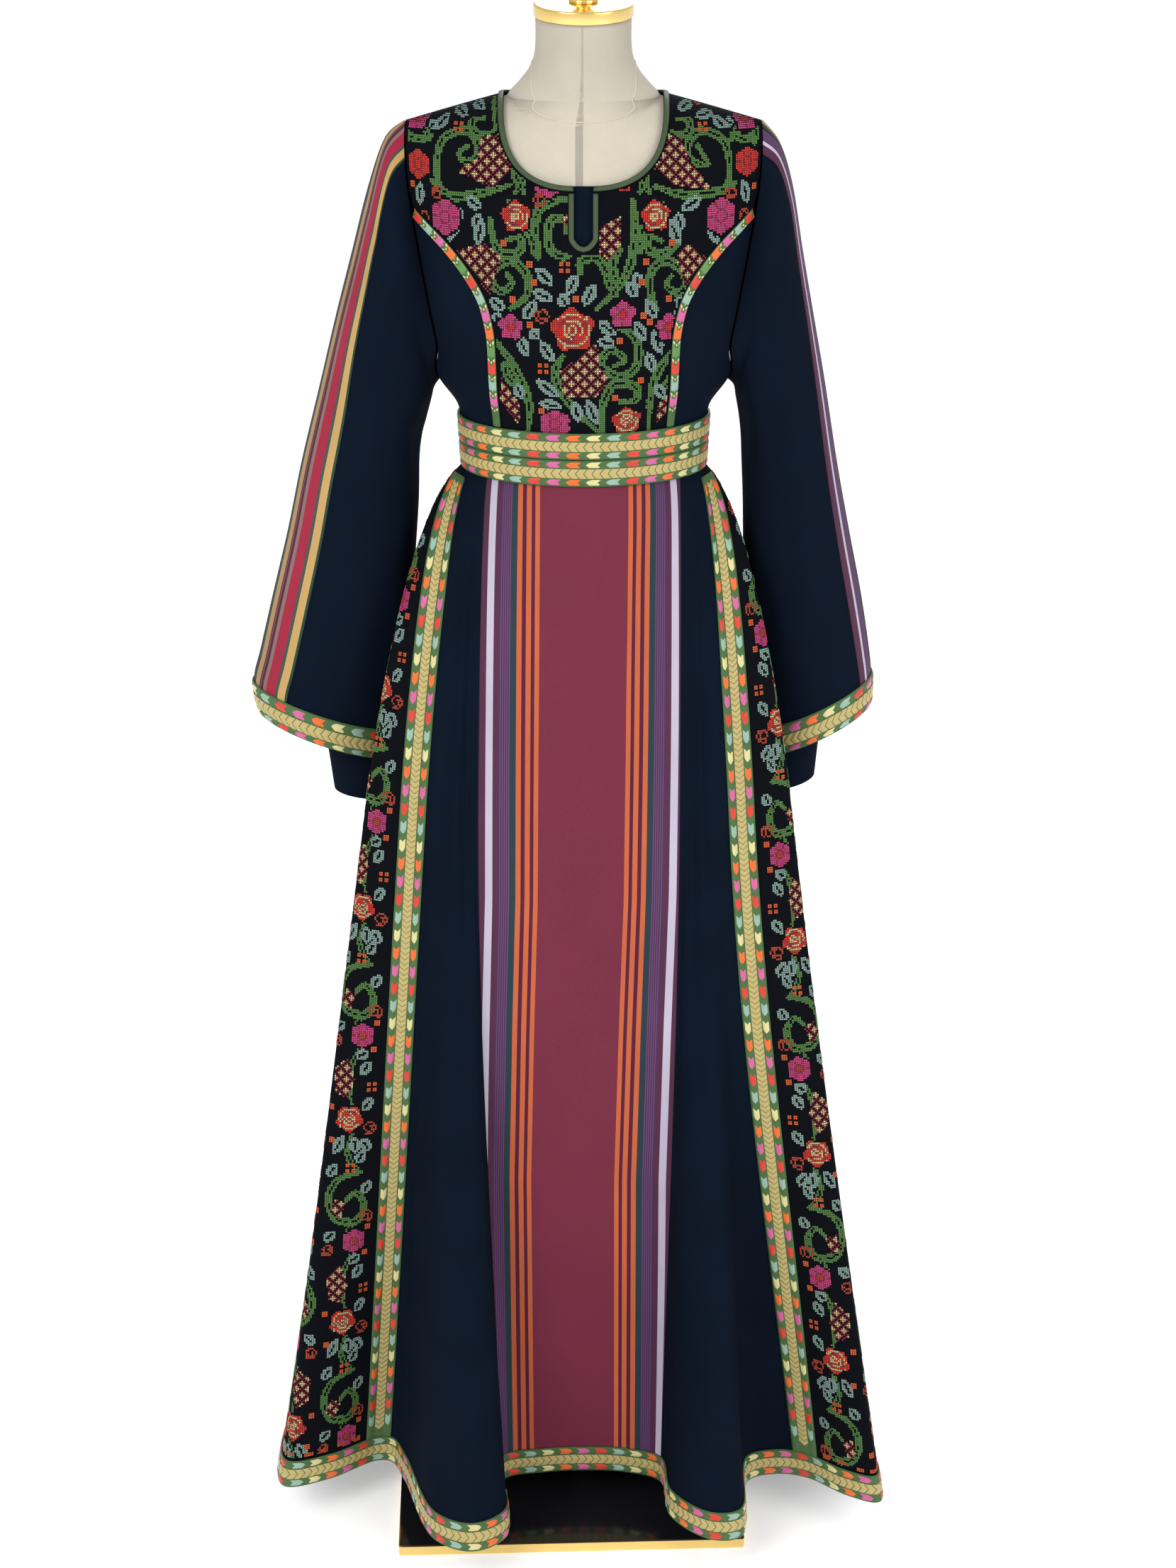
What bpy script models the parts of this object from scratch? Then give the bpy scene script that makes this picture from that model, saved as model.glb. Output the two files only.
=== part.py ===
# Long black thobe dress with embroidered yoke, striped panels and woven braids,
# on a limbless linen dress form with its stand.
# Metres, +Z up. The front faces -Y and the wearer's right side is at -X, so "left"
# below is the side that a viewer in front sees on the left.
# The origin is on the floor, under the pole of the stand.

from math import acos, asin, atan2, cos, pi, radians, sin, sqrt

import bmesh
import bpy
from mathutils import Matrix, Vector

# Cloth thickness and gaps
WALL = 0.0018
BRAID_WALL = 0.0016
HALF_SEAM = 0.0002
ARMHOLE_GAP = 0.0014
SLEEVE_CLEARANCE = {"left": 0.0011, "right": 0.0009}
LIFT = 0.0004
FORM_CLEARANCE = 0.0018
BELT_WALL = 0.0022
BELT_LIFT = 0.0030
BINDING_LIFT = 0.0024
INNER_SLEEVE_EASE = 1.1

# Heights
WAIST_Z = 1.222
BELT_TOP_Z = 1.251
BELT_BOTTOM_Z = 1.195
UNDERARM_Z = 1.285
HEM_Z = 0.050
FORM_BOTTOM_Z = 0.860
NECK_TOP_Z = 1.652
PLATE_TOP_Z = 0.012

# Shoulder line: height over the floor at a distance from the middle
SHOULDER_PEAK_Z = 1.6031
SHOULDER_SLOPE = 0.29
SHOULDER_ROUND = 0.040
SHOULDER_DROP = 0.130
NECK_POINT_X = 0.0805
SHOULDER_TIP_DEG = 67.6

# Neck opening and slit
NECK_FRONT_Z = 1.4975
NECK_POWER = 2.7
NECK_BACK_DEG = 33.0
SLIT_HALF = 0.0095
SLIT_BOTTOM_Z = 1.440
BINDING_WIDTH = 0.005

# Widths of trims and inserts
BRAID_WIDTH = 0.031
BIB_TRIM_WIDTH = 0.009
SLEEVE_STRIPE_WIDTH = 0.084

# Body of the dress at a height: half width at the side seam, depth of front and back
TORSO_COLUMNS = ("z", "half_width", "front", "back")
TORSO = (
    (1.180, 0.126, 0.100, 0.092),
    (1.222, 0.128, 0.101, 0.093),
    (1.260, 0.132, 0.105, 0.096),
    (1.292, 0.153, 0.112, 0.101),
    (1.350, 0.166, 0.117, 0.105),
    (1.430, 0.181, 0.109, 0.107),
    (1.510, 0.193, 0.100, 0.103),
    (1.620, 0.194, 0.095, 0.098),
)

# Dress form under the dress, below the bust
FORM_COLUMNS = ("z", "half_width", "front", "back")
FORM = (
    (0.860, 0.140, 0.088, 0.092),
    (0.940, 0.150, 0.094, 0.100),
    (1.040, 0.148, 0.094, 0.100),
    (1.140, 0.130, 0.092, 0.090),
    (1.222, 0.119, 0.092, 0.084),
    (1.280, 0.134, 0.102, 0.090),
)

# Neck of the form: half width, depth at the front, depth at the back
NECK_COLUMNS = ("z", "half_width", "front", "back")
NECK = (
    (1.5300, 0.0780, 0.0640, 0.0480),
    (1.5740, 0.0768, 0.0605, 0.0470),
    (1.5894, 0.0640, 0.0570, 0.0468),
    (1.6012, 0.0548, 0.0540, 0.0470),
    (1.6185, 0.0487, 0.0515, 0.0465),
    (1.6620, 0.0484, 0.0500, 0.0460),
)

# Edge of the embroidered yoke, from the waist up to the armhole
YOKE_COLUMNS = ("x", "z")
YOKE_EDGE = (
    (0.0875, 1.2220),
    (0.0880, 1.2525),
    (0.0910, 1.2900),
    (0.0925, 1.3371),
    (0.0945, 1.3565),
    (0.1000, 1.3787),
    (0.1081, 1.3957),
    (0.1213, 1.4148),
    (0.1379, 1.4338),
    (0.1566, 1.4507),
    (0.1705, 1.4630),
)

# Skirt folds, from the centre front round to the centre back. Angle at the waist from
# the centre front, place at the height where the folds start, and place at the hem.
# The last column gives how many strips lie between this line and the next.
FOLD_COLUMNS = ("name", "waist_deg", "mid_x", "mid_y", "hem_x", "hem_y", "strips")
FOLDS_LEFT = (
    ("centre_front", 0.0, 0.000, -0.137, 0.000, -0.167, 3),
    ("panel_middle", 26.0, 0.057, -0.134, 0.047, -0.171, 3),
    ("panel_edge", 52.0, 0.112, -0.122, 0.093, -0.186, 2),
    ("lobe_inner", 56.0, 0.121, -0.119, 0.087, -0.292, 2),
    ("lobe_front", 60.0, 0.132, -0.115, 0.122, -0.318, 2),
    ("lobe_outer", 65.0, 0.145, -0.110, 0.163, -0.298, 2),
    ("lobe_foot", 69.0, 0.158, -0.105, 0.204, -0.187, 2),
    ("recess", 73.0, 0.168, -0.100, 0.222, -0.150, 1),
    ("braid", 77.0, 0.181, -0.093, 0.240, -0.148, 2),
    ("corner_inner", 83.0, 0.213, -0.085, 0.293, -0.184, 2),
    ("corner", 90.0, 0.234, -0.070, 0.341, -0.198, 2),
    ("side_front", 98.0, 0.212, -0.035, 0.351, -0.135, 2),
    ("side", 106.0, 0.186, 0.000, 0.325, -0.025, 2),
    ("side_back", 114.0, 0.176, 0.045, 0.333, 0.070, 2),
    ("back_corner", 123.0, 0.172, 0.090, 0.305, 0.165, 2),
    ("back_recess", 133.0, 0.150, 0.118, 0.240, 0.190, 2),
    ("back_lobe_outer", 143.0, 0.125, 0.135, 0.182, 0.268, 2),
    ("back_lobe", 152.0, 0.095, 0.145, 0.137, 0.300, 2),
    ("back_lobe_inner", 161.0, 0.065, 0.150, 0.090, 0.262, 2),
    ("back_rise", 171.0, 0.032, 0.153, 0.045, 0.212, 2),
    ("centre_back", 180.0, 0.000, 0.155, 0.000, 0.202, 0),
)
FOLDS_RIGHT = (
    ("centre_front", 0.0, 0.000, -0.137, 0.000, -0.167, 3),
    ("panel_middle", 26.0, 0.052, -0.134, 0.045, -0.170, 3),
    ("panel_edge", 52.0, 0.102, -0.123, 0.087, -0.188, 2),
    ("lobe_inner", 56.0, 0.112, -0.120, 0.099, -0.256, 2),
    ("lobe_front", 60.0, 0.124, -0.116, 0.142, -0.297, 2),
    ("lobe_outer", 65.0, 0.136, -0.111, 0.173, -0.292, 2),
    ("lobe_foot", 69.0, 0.148, -0.106, 0.187, -0.187, 2),
    ("recess", 73.0, 0.156, -0.101, 0.224, -0.174, 1),
    ("braid", 77.0, 0.167, -0.095, 0.257, -0.182, 2),
    ("corner_inner", 83.0, 0.201, -0.086, 0.300, -0.216, 2),
    ("corner", 90.0, 0.222, -0.072, 0.333, -0.228, 2),
    ("side_front", 98.0, 0.204, -0.036, 0.331, -0.150, 2),
    ("side", 106.0, 0.180, 0.000, 0.316, -0.030, 2),
    ("side_back", 114.0, 0.172, 0.045, 0.330, 0.075, 2),
    ("back_corner", 123.0, 0.168, 0.090, 0.298, 0.170, 2),
    ("back_recess", 133.0, 0.148, 0.118, 0.232, 0.194, 2),
    ("back_lobe_outer", 143.0, 0.124, 0.135, 0.176, 0.262, 2),
    ("back_lobe", 152.0, 0.095, 0.145, 0.130, 0.290, 2),
    ("back_lobe_inner", 161.0, 0.065, 0.150, 0.086, 0.256, 2),
    ("back_rise", 171.0, 0.032, 0.153, 0.043, 0.210, 2),
    ("centre_back", 180.0, 0.000, 0.155, 0.000, 0.202, 0),
)
SIDE_PANEL_BACK_FOLD = "side_back"

# Share of the skirt's height at each row of points: 0 is the belt's lower edge, 1 the hem
FOLD_START = 0.30
FLARE_POWER = 0.45
FLARE_SOFTNESS = 0.004
HEM_BRAID_SHARE = 1.0 - BRAID_WIDTH / (BELT_BOTTOM_Z - HEM_Z)
SKIRT_ROWS = (0.0, 0.02, 0.06, 0.13, 0.22, 0.32, 0.43, 0.54, 0.65, 0.76, 0.87, HEM_BRAID_SHARE, 1.0)

# Sleeves below the armhole: outer and inner point, centre and half depth of each section
SLEEVE_COLUMNS = ("outer_x", "outer_z", "inner_x", "inner_z", "centre_y", "half_depth")
SLEEVE_LEFT = (
    (0.2015, 1.5320, 0.1565, 1.2760, 0.003, 0.060),
    (0.2202, 1.4830, 0.1600, 1.2620, 0.006, 0.064),
    (0.2395, 1.4150, 0.1660, 1.2400, 0.010, 0.062),
    (0.2580, 1.3500, 0.1710, 1.2220, 0.013, 0.060),
    (0.2780, 1.2750, 0.1745, 1.1960, 0.016, 0.056),
    (0.3000, 1.1940, 0.1765, 1.1500, 0.020, 0.053),
    (0.3180, 1.1180, 0.1815, 1.0900, 0.024, 0.051),
    (0.3375, 1.0450, 0.1880, 1.0150, 0.029, 0.050),
    (0.3545, 0.9800, 0.1965, 0.9400, 0.034, 0.052),
    (0.3640, 0.9430, 0.2045, 0.8880, 0.037, 0.054),
    (0.3600, 0.9080, 0.2090, 0.8540, 0.040, 0.056),
)
SLEEVE_RIGHT = (
    (0.1995, 1.5270, 0.1570, 1.2780, 0.003, 0.059),
    (0.2135, 1.4850, 0.1595, 1.2650, 0.006, 0.062),
    (0.2260, 1.4180, 0.1635, 1.2430, 0.010, 0.061),
    (0.2385, 1.3550, 0.1660, 1.2220, 0.013, 0.059),
    (0.2535, 1.2800, 0.1675, 1.1960, 0.016, 0.055),
    (0.2690, 1.1950, 0.1700, 1.1500, 0.020, 0.053),
    (0.2850, 1.1180, 0.1720, 1.0900, 0.024, 0.051),
    (0.3010, 1.0450, 0.1770, 1.0150, 0.029, 0.050),
    (0.3120, 0.9850, 0.1830, 0.9450, 0.034, 0.052),
    (0.3165, 0.9520, 0.1880, 0.8900, 0.037, 0.054),
    (0.3170, 0.9170, 0.1900, 0.8560, 0.040, 0.056),
)
SLEEVE_AROUND = 24
SLEEVE_STRIPS = 18
STRIPE_TURN = {-1: 0.45, 1: -0.05}
INNER_SLEEVE_JOIN = 7
INNER_SLEEVE_LEFT = (
    (0.3180, 0.9750, 0.2020, 0.9550, 0.034, 0.040),
    (0.2920, 0.9000, 0.2120, 0.8800, 0.040, 0.031),
    (0.2800, 0.8120, 0.2150, 0.8030, 0.043, 0.027),
)
INNER_SLEEVE_RIGHT = (
    (0.2870, 0.9750, 0.1870, 0.9550, 0.034, 0.040),
    (0.2660, 0.9050, 0.1940, 0.8850, 0.040, 0.031),
    (0.2580, 0.8280, 0.2000, 0.8120, 0.043, 0.027),
)
INNER_SLEEVE_AROUND = 16

# Stand and neck cap
PLATE_WIDTH = 0.390
PLATE_DEPTH = 0.440
PLATE_FRONT_Y = -0.252
PLATE_CENTRE_X = -0.022
PLATE_YAW = radians(2.2)
PLATE_CORNER = 0.004
POLE_RADIUS = 0.0125
CAP_HALF_WIDTH = 0.0500
CAP_HALF_DEPTH = 0.0510
CAP_HEIGHT = 0.0120
CAP_BEVEL = 0.0015
NECK_TILT = 0.12
KNOB_PROFILE = (
    (0.0150, 0.000),
    (0.0150, 0.004),
    (0.0080, 0.008),
    (0.0075, 0.012),
    (0.0125, 0.018),
    (0.0140, 0.024),
    (0.0125, 0.030),
    (0.0075, 0.034),
)

# Colours: red, green, blue, roughness, metallic
FINISHES = {
    "black_crepe": (0.010, 0.013, 0.022, 0.80, 0.0),
    "embroidered_cloth": (0.035, 0.040, 0.045, 0.85, 0.0),
    "striped_cloth": (0.190, 0.035, 0.060, 0.60, 0.0),
    "braid": (0.160, 0.200, 0.080, 0.55, 0.0),
    "binding": (0.130, 0.160, 0.060, 0.60, 0.0),
    "linen": (0.520, 0.470, 0.400, 0.90, 0.0),
    "brass": (0.800, 0.600, 0.220, 0.25, 1.0),
    "steel": (0.300, 0.300, 0.310, 0.35, 1.0),
    "black_gloss": (0.010, 0.010, 0.012, 0.12, 0.0),
}


def clear_scene():
    for thing in list(bpy.data.objects):
        bpy.data.objects.remove(thing)


def finish(name):
    """Return the named material, made once."""
    if name in bpy.data.materials:
        return bpy.data.materials[name]
    red, green, blue, roughness, metallic = FINISHES[name]
    material = bpy.data.materials.new(name)
    material.use_nodes = True
    shader = material.node_tree.nodes["Principled BSDF"]
    shader.inputs["Base Color"].default_value = (red, green, blue, 1.0)
    shader.inputs["Roughness"].default_value = roughness
    shader.inputs["Metallic"].default_value = metallic
    return material


# Curves through tables

def hermite(a, b, slope_a, slope_b, f):
    """Cubic from a to b, f from 0 to 1."""
    f2, f3 = f * f, f * f * f
    return (
        a * (2 * f3 - 3 * f2 + 1) + slope_a * (f3 - 2 * f2 + f)
        + b * (3 * f2 - 2 * f3) + slope_b * (f3 - f2)
    )


def smooth_row(rows, position):
    """Row of numbers at a fractional row position, on a smooth curve through the rows."""
    last = len(rows) - 1
    position = min(max(position, 0.0), float(last))
    k = min(int(position), last - 1)
    f = position - k
    before = rows[max(k - 1, 0)]
    after = rows[min(k + 2, last)]
    values = []
    for c in range(len(rows[0])):
        a, b = rows[k][c], rows[k + 1][c]
        values.append(hermite(a, b, (b - before[c]) / 2, (after[c] - a) / 2, f))
    return values


def smooth_at(rows, key):
    """Other columns of a table at a value of its first column."""
    last = len(rows) - 1
    k = 0
    while k < last - 1 and rows[k + 1][0] < key:
        k += 1
    low, high = rows[k], rows[k + 1]
    span = high[0] - low[0]
    f = min(max((key - low[0]) / span, 0.0), 1.0)
    before, after = rows[max(k - 1, 0)], rows[min(k + 2, last)]
    values = []
    for c in range(1, len(low)):
        slope_low = (high[c] - before[c]) / (high[0] - before[0]) * span
        slope_high = (after[c] - low[c]) / (after[0] - low[0]) * span
        values.append(hermite(low[c], high[c], slope_low, slope_high, f))
    return values


# Bodice surface

def shoulder_z(x):
    return SHOULDER_PEAK_Z - SHOULDER_SLOPE * sqrt(x * x + SHOULDER_ROUND ** 2)


def drop_from_turn(turn):
    """Distance below the shoulder line, from the turn of the surface there."""
    if turn < pi / 2:
        return SHOULDER_DROP * (1 - cos(turn))
    return SHOULDER_DROP * (1 + turn - pi / 2)


def turn_from_drop(drop):
    if drop < SHOULDER_DROP:
        return acos(1 - max(drop, 0.0) / SHOULDER_DROP)
    return pi / 2 + drop / SHOULDER_DROP - 1


def bodice_point(side, face, angle, turn):
    """Point of the bodice. side: -1 left, 1 right. face: -1 front, 1 back.
    angle runs from the centre to the side seam, turn from the shoulder seam down."""
    x = 0.1
    for _ in range(12):
        z = shoulder_z(x) - drop_from_turn(turn)
        half_width, front, back = smooth_at(TORSO, z)
        x = half_width * sin(angle)
    depth = front if face < 0 else back
    y = face * depth * cos(angle) * sin(min(turn, pi / 2))
    return Vector((side * x, y, z))


def bodice_coordinates(x, z):
    """Angle and turn of the bodice point seen at x, z."""
    half_width = smooth_at(TORSO, z)[0]
    return asin(min(x / half_width, 1.0)), turn_from_drop(shoulder_z(x) - z)


def side_coordinates(z):
    x = smooth_at(TORSO, z)[0]
    return pi / 2, turn_from_drop(shoulder_z(x) - z)


def armhole_z(step):
    """Heights round the armhole, shared with the first ring of the sleeve."""
    top = shoulder_z(smooth_at(TORSO, 1.55)[0] * sin(radians(SHOULDER_TIP_DEG)))
    return UNDERARM_Z + (top - UNDERARM_Z) * (1 + cos(2 * pi * step / SLEEVE_AROUND)) / 2


def armhole_coordinates(z):
    low = 1 - min(1.0, (z - UNDERARM_Z) / 0.05)
    angle = radians(SHOULDER_TIP_DEG + (90 - SHOULDER_TIP_DEG) * low * low)
    x = smooth_at(TORSO, z)[0] * sin(angle)
    return angle, turn_from_drop(shoulder_z(x) - z)


def yoke_coordinates(row):
    x, z = YOKE_EDGE[row]
    return bodice_coordinates(x, z)


def neckline_coordinates(share):
    """Front neckline, from the slit at 0 to the shoulder at 1."""
    angle = pi / 2 * share
    x = max(NECK_POINT_X * sin(angle) ** (2 / NECK_POWER), SLIT_HALF)
    top = shoulder_z(NECK_POINT_X)
    z = top - (top - NECK_FRONT_Z) * cos(angle) ** (2 / NECK_POWER)
    return bodice_coordinates(x, z)


def back_neckline_coordinates(share):
    angle = pi / 2 * share
    x = NECK_POINT_X * sin(angle)
    turn = radians(NECK_BACK_DEG) * cos(angle)
    z = shoulder_z(x) - drop_from_turn(turn)
    half_width = smooth_at(TORSO, z)[0]
    return asin(x / half_width), turn


def surface_normal(surface, u, v, outward):
    """Unit normal of a surface function, on the side given by outward."""
    step = 0.0005
    along_u = surface(u + step, v) - surface(u - step, v)
    along_v = surface(u, v + step) - surface(u, v - step)
    normal = along_u.cross(along_v).normalized()
    return normal * outward


def bodice_patch(side, face, inner, outer, shares):
    """Rows of (point, normal) between an inner and an outer edge of a bodice piece."""
    def surface(angle, turn):
        return bodice_point(side, face, angle, turn)

    rows = []
    for edge_in, edge_out in zip(inner, outer):
        row = []
        for share in shares:
            angle = edge_in[0] + (edge_out[0] - edge_in[0]) * share
            turn = edge_in[1] + (edge_out[1] - edge_in[1]) * share
            normal = surface_normal(surface, angle, turn, side * face)
            row.append([surface(angle, turn), normal])
        rows.append(row)
    return rows


def waist_row(row, z):
    """Set a row of a bodice patch to the height of the waist seam."""
    for entry in row:
        point = entry[0]
        half_width, front, back = smooth_at(TORSO, z)
        scale = half_width / max(smooth_at(TORSO, point.z)[0], 0.001)
        point.x *= scale
        point.z = z


# Sheets of cloth

def ease_columns(rows, first, last):
    """Pull the first or last column back from its seam."""
    for row in rows:
        if first:
            row[0][0] = row[0][0] + (row[1][0] - row[0][0]).normalized() * HALF_SEAM
        if last:
            row[-1][0] = row[-1][0] + (row[-2][0] - row[-1][0]).normalized() * HALF_SEAM


def ease_row(rows, edge, inside):
    for near, far in zip(rows[edge], rows[inside]):
        near[0] = near[0] + (far[0] - near[0]).normalized() * HALF_SEAM


def cloth(name, patches, finish_name, wall=WALL, lift=0.0, joined=False):
    """Closed wall from patches of (point, normal) rows. A patch whose rows are joined
    wraps round on itself. Points of patches that meet are welded."""
    mesh = bmesh.new()
    shared = {}

    def corner(entry):
        point, normal = entry
        key = tuple(round(value, 5) for value in point)
        if key not in shared:
            outer = mesh.verts.new(point + normal * lift)
            inner = mesh.verts.new(point + normal * (lift - wall))
            shared[key] = (outer, inner)
        return shared[key]

    edges = {}

    def add_face(corners):
        ring = []
        for item in corners:
            if not ring or ring[-1] is not item:
                ring.append(item)
        if ring[0] is ring[-1]:
            ring.pop()
        if len(ring) < 3:
            return
        mesh.faces.new([item[0] for item in ring])
        mesh.faces.new([item[1] for item in reversed(ring)])
        for a, b in zip(ring, ring[1:] + ring[:1]):
            if (id(b), id(a)) in edges:
                del edges[(id(b), id(a))]
            else:
                edges[(id(a), id(b))] = (a, b)

    for rows, flip in patches:
        for upper, lower in zip(rows, rows[1:]):
            columns = len(upper)
            steps = columns if joined else columns - 1
            for k in range(steps):
                n = (k + 1) % columns
                quad = [corner(upper[k]), corner(lower[k]), corner(lower[n]), corner(upper[n])]
                add_face(quad if flip else quad[::-1])
    for a, b in edges.values():
        mesh.faces.new([b[0], a[0], a[1], b[1]])
    bmesh.ops.triangulate(mesh, faces=mesh.faces[:])
    return add_object(name, mesh, finish_name)


def add_object(name, mesh, finish_name, smooth_deg=40.0):
    bmesh.ops.recalc_face_normals(mesh, faces=mesh.faces[:])
    data = bpy.data.meshes.new(name)
    mesh.to_mesh(data)
    mesh.free()
    data.materials.append(finish(finish_name))
    data.shade_smooth()
    data.set_sharp_from_angle(angle=radians(smooth_deg))
    thing = bpy.data.objects.new(name, data)
    bpy.context.collection.objects.link(thing)
    return thing


SIDES = (("left", -1), ("right", 1))

# Bodice pieces

TRIM_HALF = BIB_TRIM_WIDTH / 2
TRIM_END_SHARE = 0.35
YOKE_SHARES = (0.0, 0.10, 0.24, 0.42, 0.60, 0.78, 0.92)
YOKE_CENTRE_Z = (WAIST_Z, 1.250, 1.290, 1.335, 1.365, 1.392, 1.416, SLIT_BOTTOM_Z, SLIT_BOTTOM_Z + 0.008, 1.472)
BACK_ARMHOLE_STEPS = (12, 11, 10, 9, 8, 7, 6, 5, 4, 3, 2.2, 1.4, 0.7, 0)
SLIT_HEIGHTS = (SLIT_BOTTOM_Z, SLIT_BOTTOM_Z + 0.008, 1.456, 1.472, 1.4915)
SLIT_CORNER_Z = SLIT_BOTTOM_Z + 0.002
NECK_BACK_SHARES = (0.0, 0.28, 0.55, 0.80, 1.0)
NECK_SHARES = (0.0, 0.22, 0.42, 0.62, 0.78, 0.90, 0.965, 0.99, 1.0)


def centre_coordinates(z, x=0.0):
    return bodice_coordinates(x, z)


def yoke_inner_edge():
    """Centre front, slit and neckline."""
    edge = [centre_coordinates(z) for z in YOKE_CENTRE_Z[:8]]
    edge += [centre_coordinates(z, SLIT_HALF) for z in YOKE_CENTRE_Z[8:]]
    edge += [neckline_coordinates(share) for share in NECK_SHARES]
    return edge


def yoke_outer_edge():
    """Trim line up to the armhole, then the armhole up to the shoulder."""
    edge = [yoke_coordinates(row) for row in range(len(YOKE_EDGE))]
    edge += [armhole_coordinates(armhole_z(step)) for step in (4, 3.3, 2.6, 2, 1.5, 1, 0.5, 0)]
    return edge


def shifted(edge, side, face, distance):
    """Edge moved along its rows towards the centre (negative) or the side."""
    moved = []
    for angle, turn in edge:
        here = bodice_point(side, face, angle, turn)
        there = bodice_point(side, face, angle + 0.01, turn)
        moved.append((angle + 0.01 * distance / (there - here).length, turn))
    return moved


def trim_slant(row):
    """How much wider the trim is along a row than across it."""
    low = YOKE_EDGE[max(row - 1, 0)]
    high = YOKE_EDGE[min(row + 1, len(YOKE_EDGE) - 1)]
    run, rise = high[0] - low[0], high[1] - low[1]
    return sqrt(run * run + rise * rise) / rise


def with_last(inner, outer, near, side, face, shares):
    """Patch that ends with a column at near, just before the outer edge."""
    rows = bodice_patch(side, face, inner, near, shares)
    ends = bodice_patch(side, face, near, outer, (0.0, 1.0))
    return [row + end for row, end in zip(rows, ends)]


def trim_near(edge, side, face, direction):
    near = []
    for row, coordinates in enumerate(edge):
        width = TRIM_HALF * (trim_slant(row) if row < len(YOKE_EDGE) else 1.0)
        near += shifted([coordinates], side, face, direction * width)
    return near


def make_yoke():
    patches = []
    for _, side in SIDES:
        inner, outer = yoke_inner_edge(), yoke_outer_edge()
        near = trim_near(outer, side, -1, -1)
        rows = with_last(inner, outer, near, side, -1, YOKE_SHARES)
        waist_row(rows[0], WAIST_Z + HALF_SEAM)
        for row in rows:
            row[-1][0] = row[-1][0] + (row[-2][0] - row[-1][0]).normalized() * HALF_SEAM
        ease_row(rows, -1, -2)
        patches.append((rows, side > 0))
    cloth("yoke_front", patches, "embroidered_cloth")


def side_front_edges():
    rows = len(YOKE_EDGE)
    inner = [yoke_coordinates(row) for row in range(rows)]
    outer = [side_coordinates(WAIST_Z), side_coordinates(1.255)]
    outer += [armhole_coordinates(armhole_z(step)) for step in (12, 11, 10, 9, 8, 7, 6)]
    outer += [armhole_coordinates(armhole_z(5.4)), armhole_coordinates(armhole_z(4.8))]
    return inner, outer


def make_side_fronts():
    for name, side in SIDES:
        inner, outer = side_front_edges()
        near = trim_near(inner, side, -1, 1)
        near[-1] = tuple((a + b) / 2 for a, b in zip(inner[-1], outer[-1]))
        first = bodice_patch(side, -1, inner, near, (0.0,))
        rest = bodice_patch(side, -1, near, outer, (0.0, 0.35, 0.70, 1.0))
        rows = [a + b for a, b in zip(first, rest)]
        waist_row(rows[0], WAIST_Z + HALF_SEAM)
        ease_columns(rows, True, False)
        for row in rows[:3]:
            row[-1][0] = row[-1][0] + (row[-2][0] - row[-1][0]).normalized() * HALF_SEAM
        cloth("bodice_side_front_" + name, [(rows, side > 0)], "black_crepe")


def make_bodice_back():
    patches = []
    for _, side in SIDES:
        centre_z = (WAIST_Z, 1.255, 1.290, 1.315, 1.345, 1.380, 1.415, 1.450, 1.485, 1.520, 1.545)
        inner = [centre_coordinates(z) for z in centre_z]
        inner += [back_neckline_coordinates(share) for share in NECK_BACK_SHARES]
        outer = [side_coordinates(WAIST_Z), side_coordinates(1.255)]
        outer += [armhole_coordinates(armhole_z(step)) for step in BACK_ARMHOLE_STEPS]
        rows = bodice_patch(side, 1, inner, outer, (0.0, 0.16, 0.34, 0.52, 0.70, 0.86, 1.0))
        waist_row(rows[0], WAIST_Z + HALF_SEAM)
        for row in rows[:3]:
            row[-1][0] = row[-1][0] + (row[-2][0] - row[-1][0]).normalized() * HALF_SEAM
        ease_row(rows, -1, -2)
        patches.append((rows, side < 0))
    cloth("bodice_back", patches, "black_crepe")


def make_yoke_trims():
    for name, side in SIDES:
        edge = [yoke_coordinates(row) for row in range(1, len(YOKE_EDGE))]
        whole = [yoke_coordinates(row) for row in range(len(YOKE_EDGE))]
        low = trim_near(whole, side, -1, -1)[1:]
        high = trim_near(whole, side, -1, 1)[1:]
        first = bodice_patch(side, -1, low, edge, (0.0, 1.0))
        last = bodice_patch(side, -1, edge, high, (1.0,))
        rows = [a + b for a, b in zip(first, last)]
        last_row = rows[-1]
        last_row[2][0] = last_row[1][0] + (last_row[2][0] - last_row[1][0]) * TRIM_END_SHARE
        cloth("yoke_trim_" + name, [(rows, side > 0)], "braid", BRAID_WALL, LIFT + BRAID_WALL)


def binding_rows(side, face, coordinates, width):
    """Band beside an edge of the neck opening, on the cloth."""
    def surface(angle, turn):
        return bodice_point(side, face, angle, turn)

    points = [surface(*pair) for pair in coordinates]
    rows = []
    for k, (angle, turn) in enumerate(coordinates):
        normal = surface_normal(surface, angle, turn, side * face)
        along = points[min(k + 1, len(points) - 1)] - points[max(k - 1, 0)]
        across = along.cross(normal).normalized() * -side * face
        target = points[k] + across * width
        far_angle, far_turn = nearest_coordinates(surface, angle, turn, target)
        far = surface(far_angle, far_turn)
        far_normal = surface_normal(surface, far_angle, far_turn, side * face)
        rows.append([[points[k], normal], [far, far_normal]])
    return rows


def nearest_coordinates(surface, angle, turn, target):
    """Surface coordinates whose point lies under the target, by a few Newton steps."""
    step = 0.001
    for _ in range(6):
        point = surface(angle, turn)
        du = (surface(angle + step, turn) - surface(angle - step, turn)) / (2 * step)
        dv = (surface(angle, turn + step) - surface(angle, turn - step)) / (2 * step)
        error = target - point
        a, b, c = du.dot(du), du.dot(dv), dv.dot(dv)
        e, f = error.dot(du), error.dot(dv)
        scale = a * c - b * b
        if scale < 1e-12:
            break
        angle += (e * c - f * b) / scale
        turn += (a * f - b * e) / scale
    return angle, turn


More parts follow.
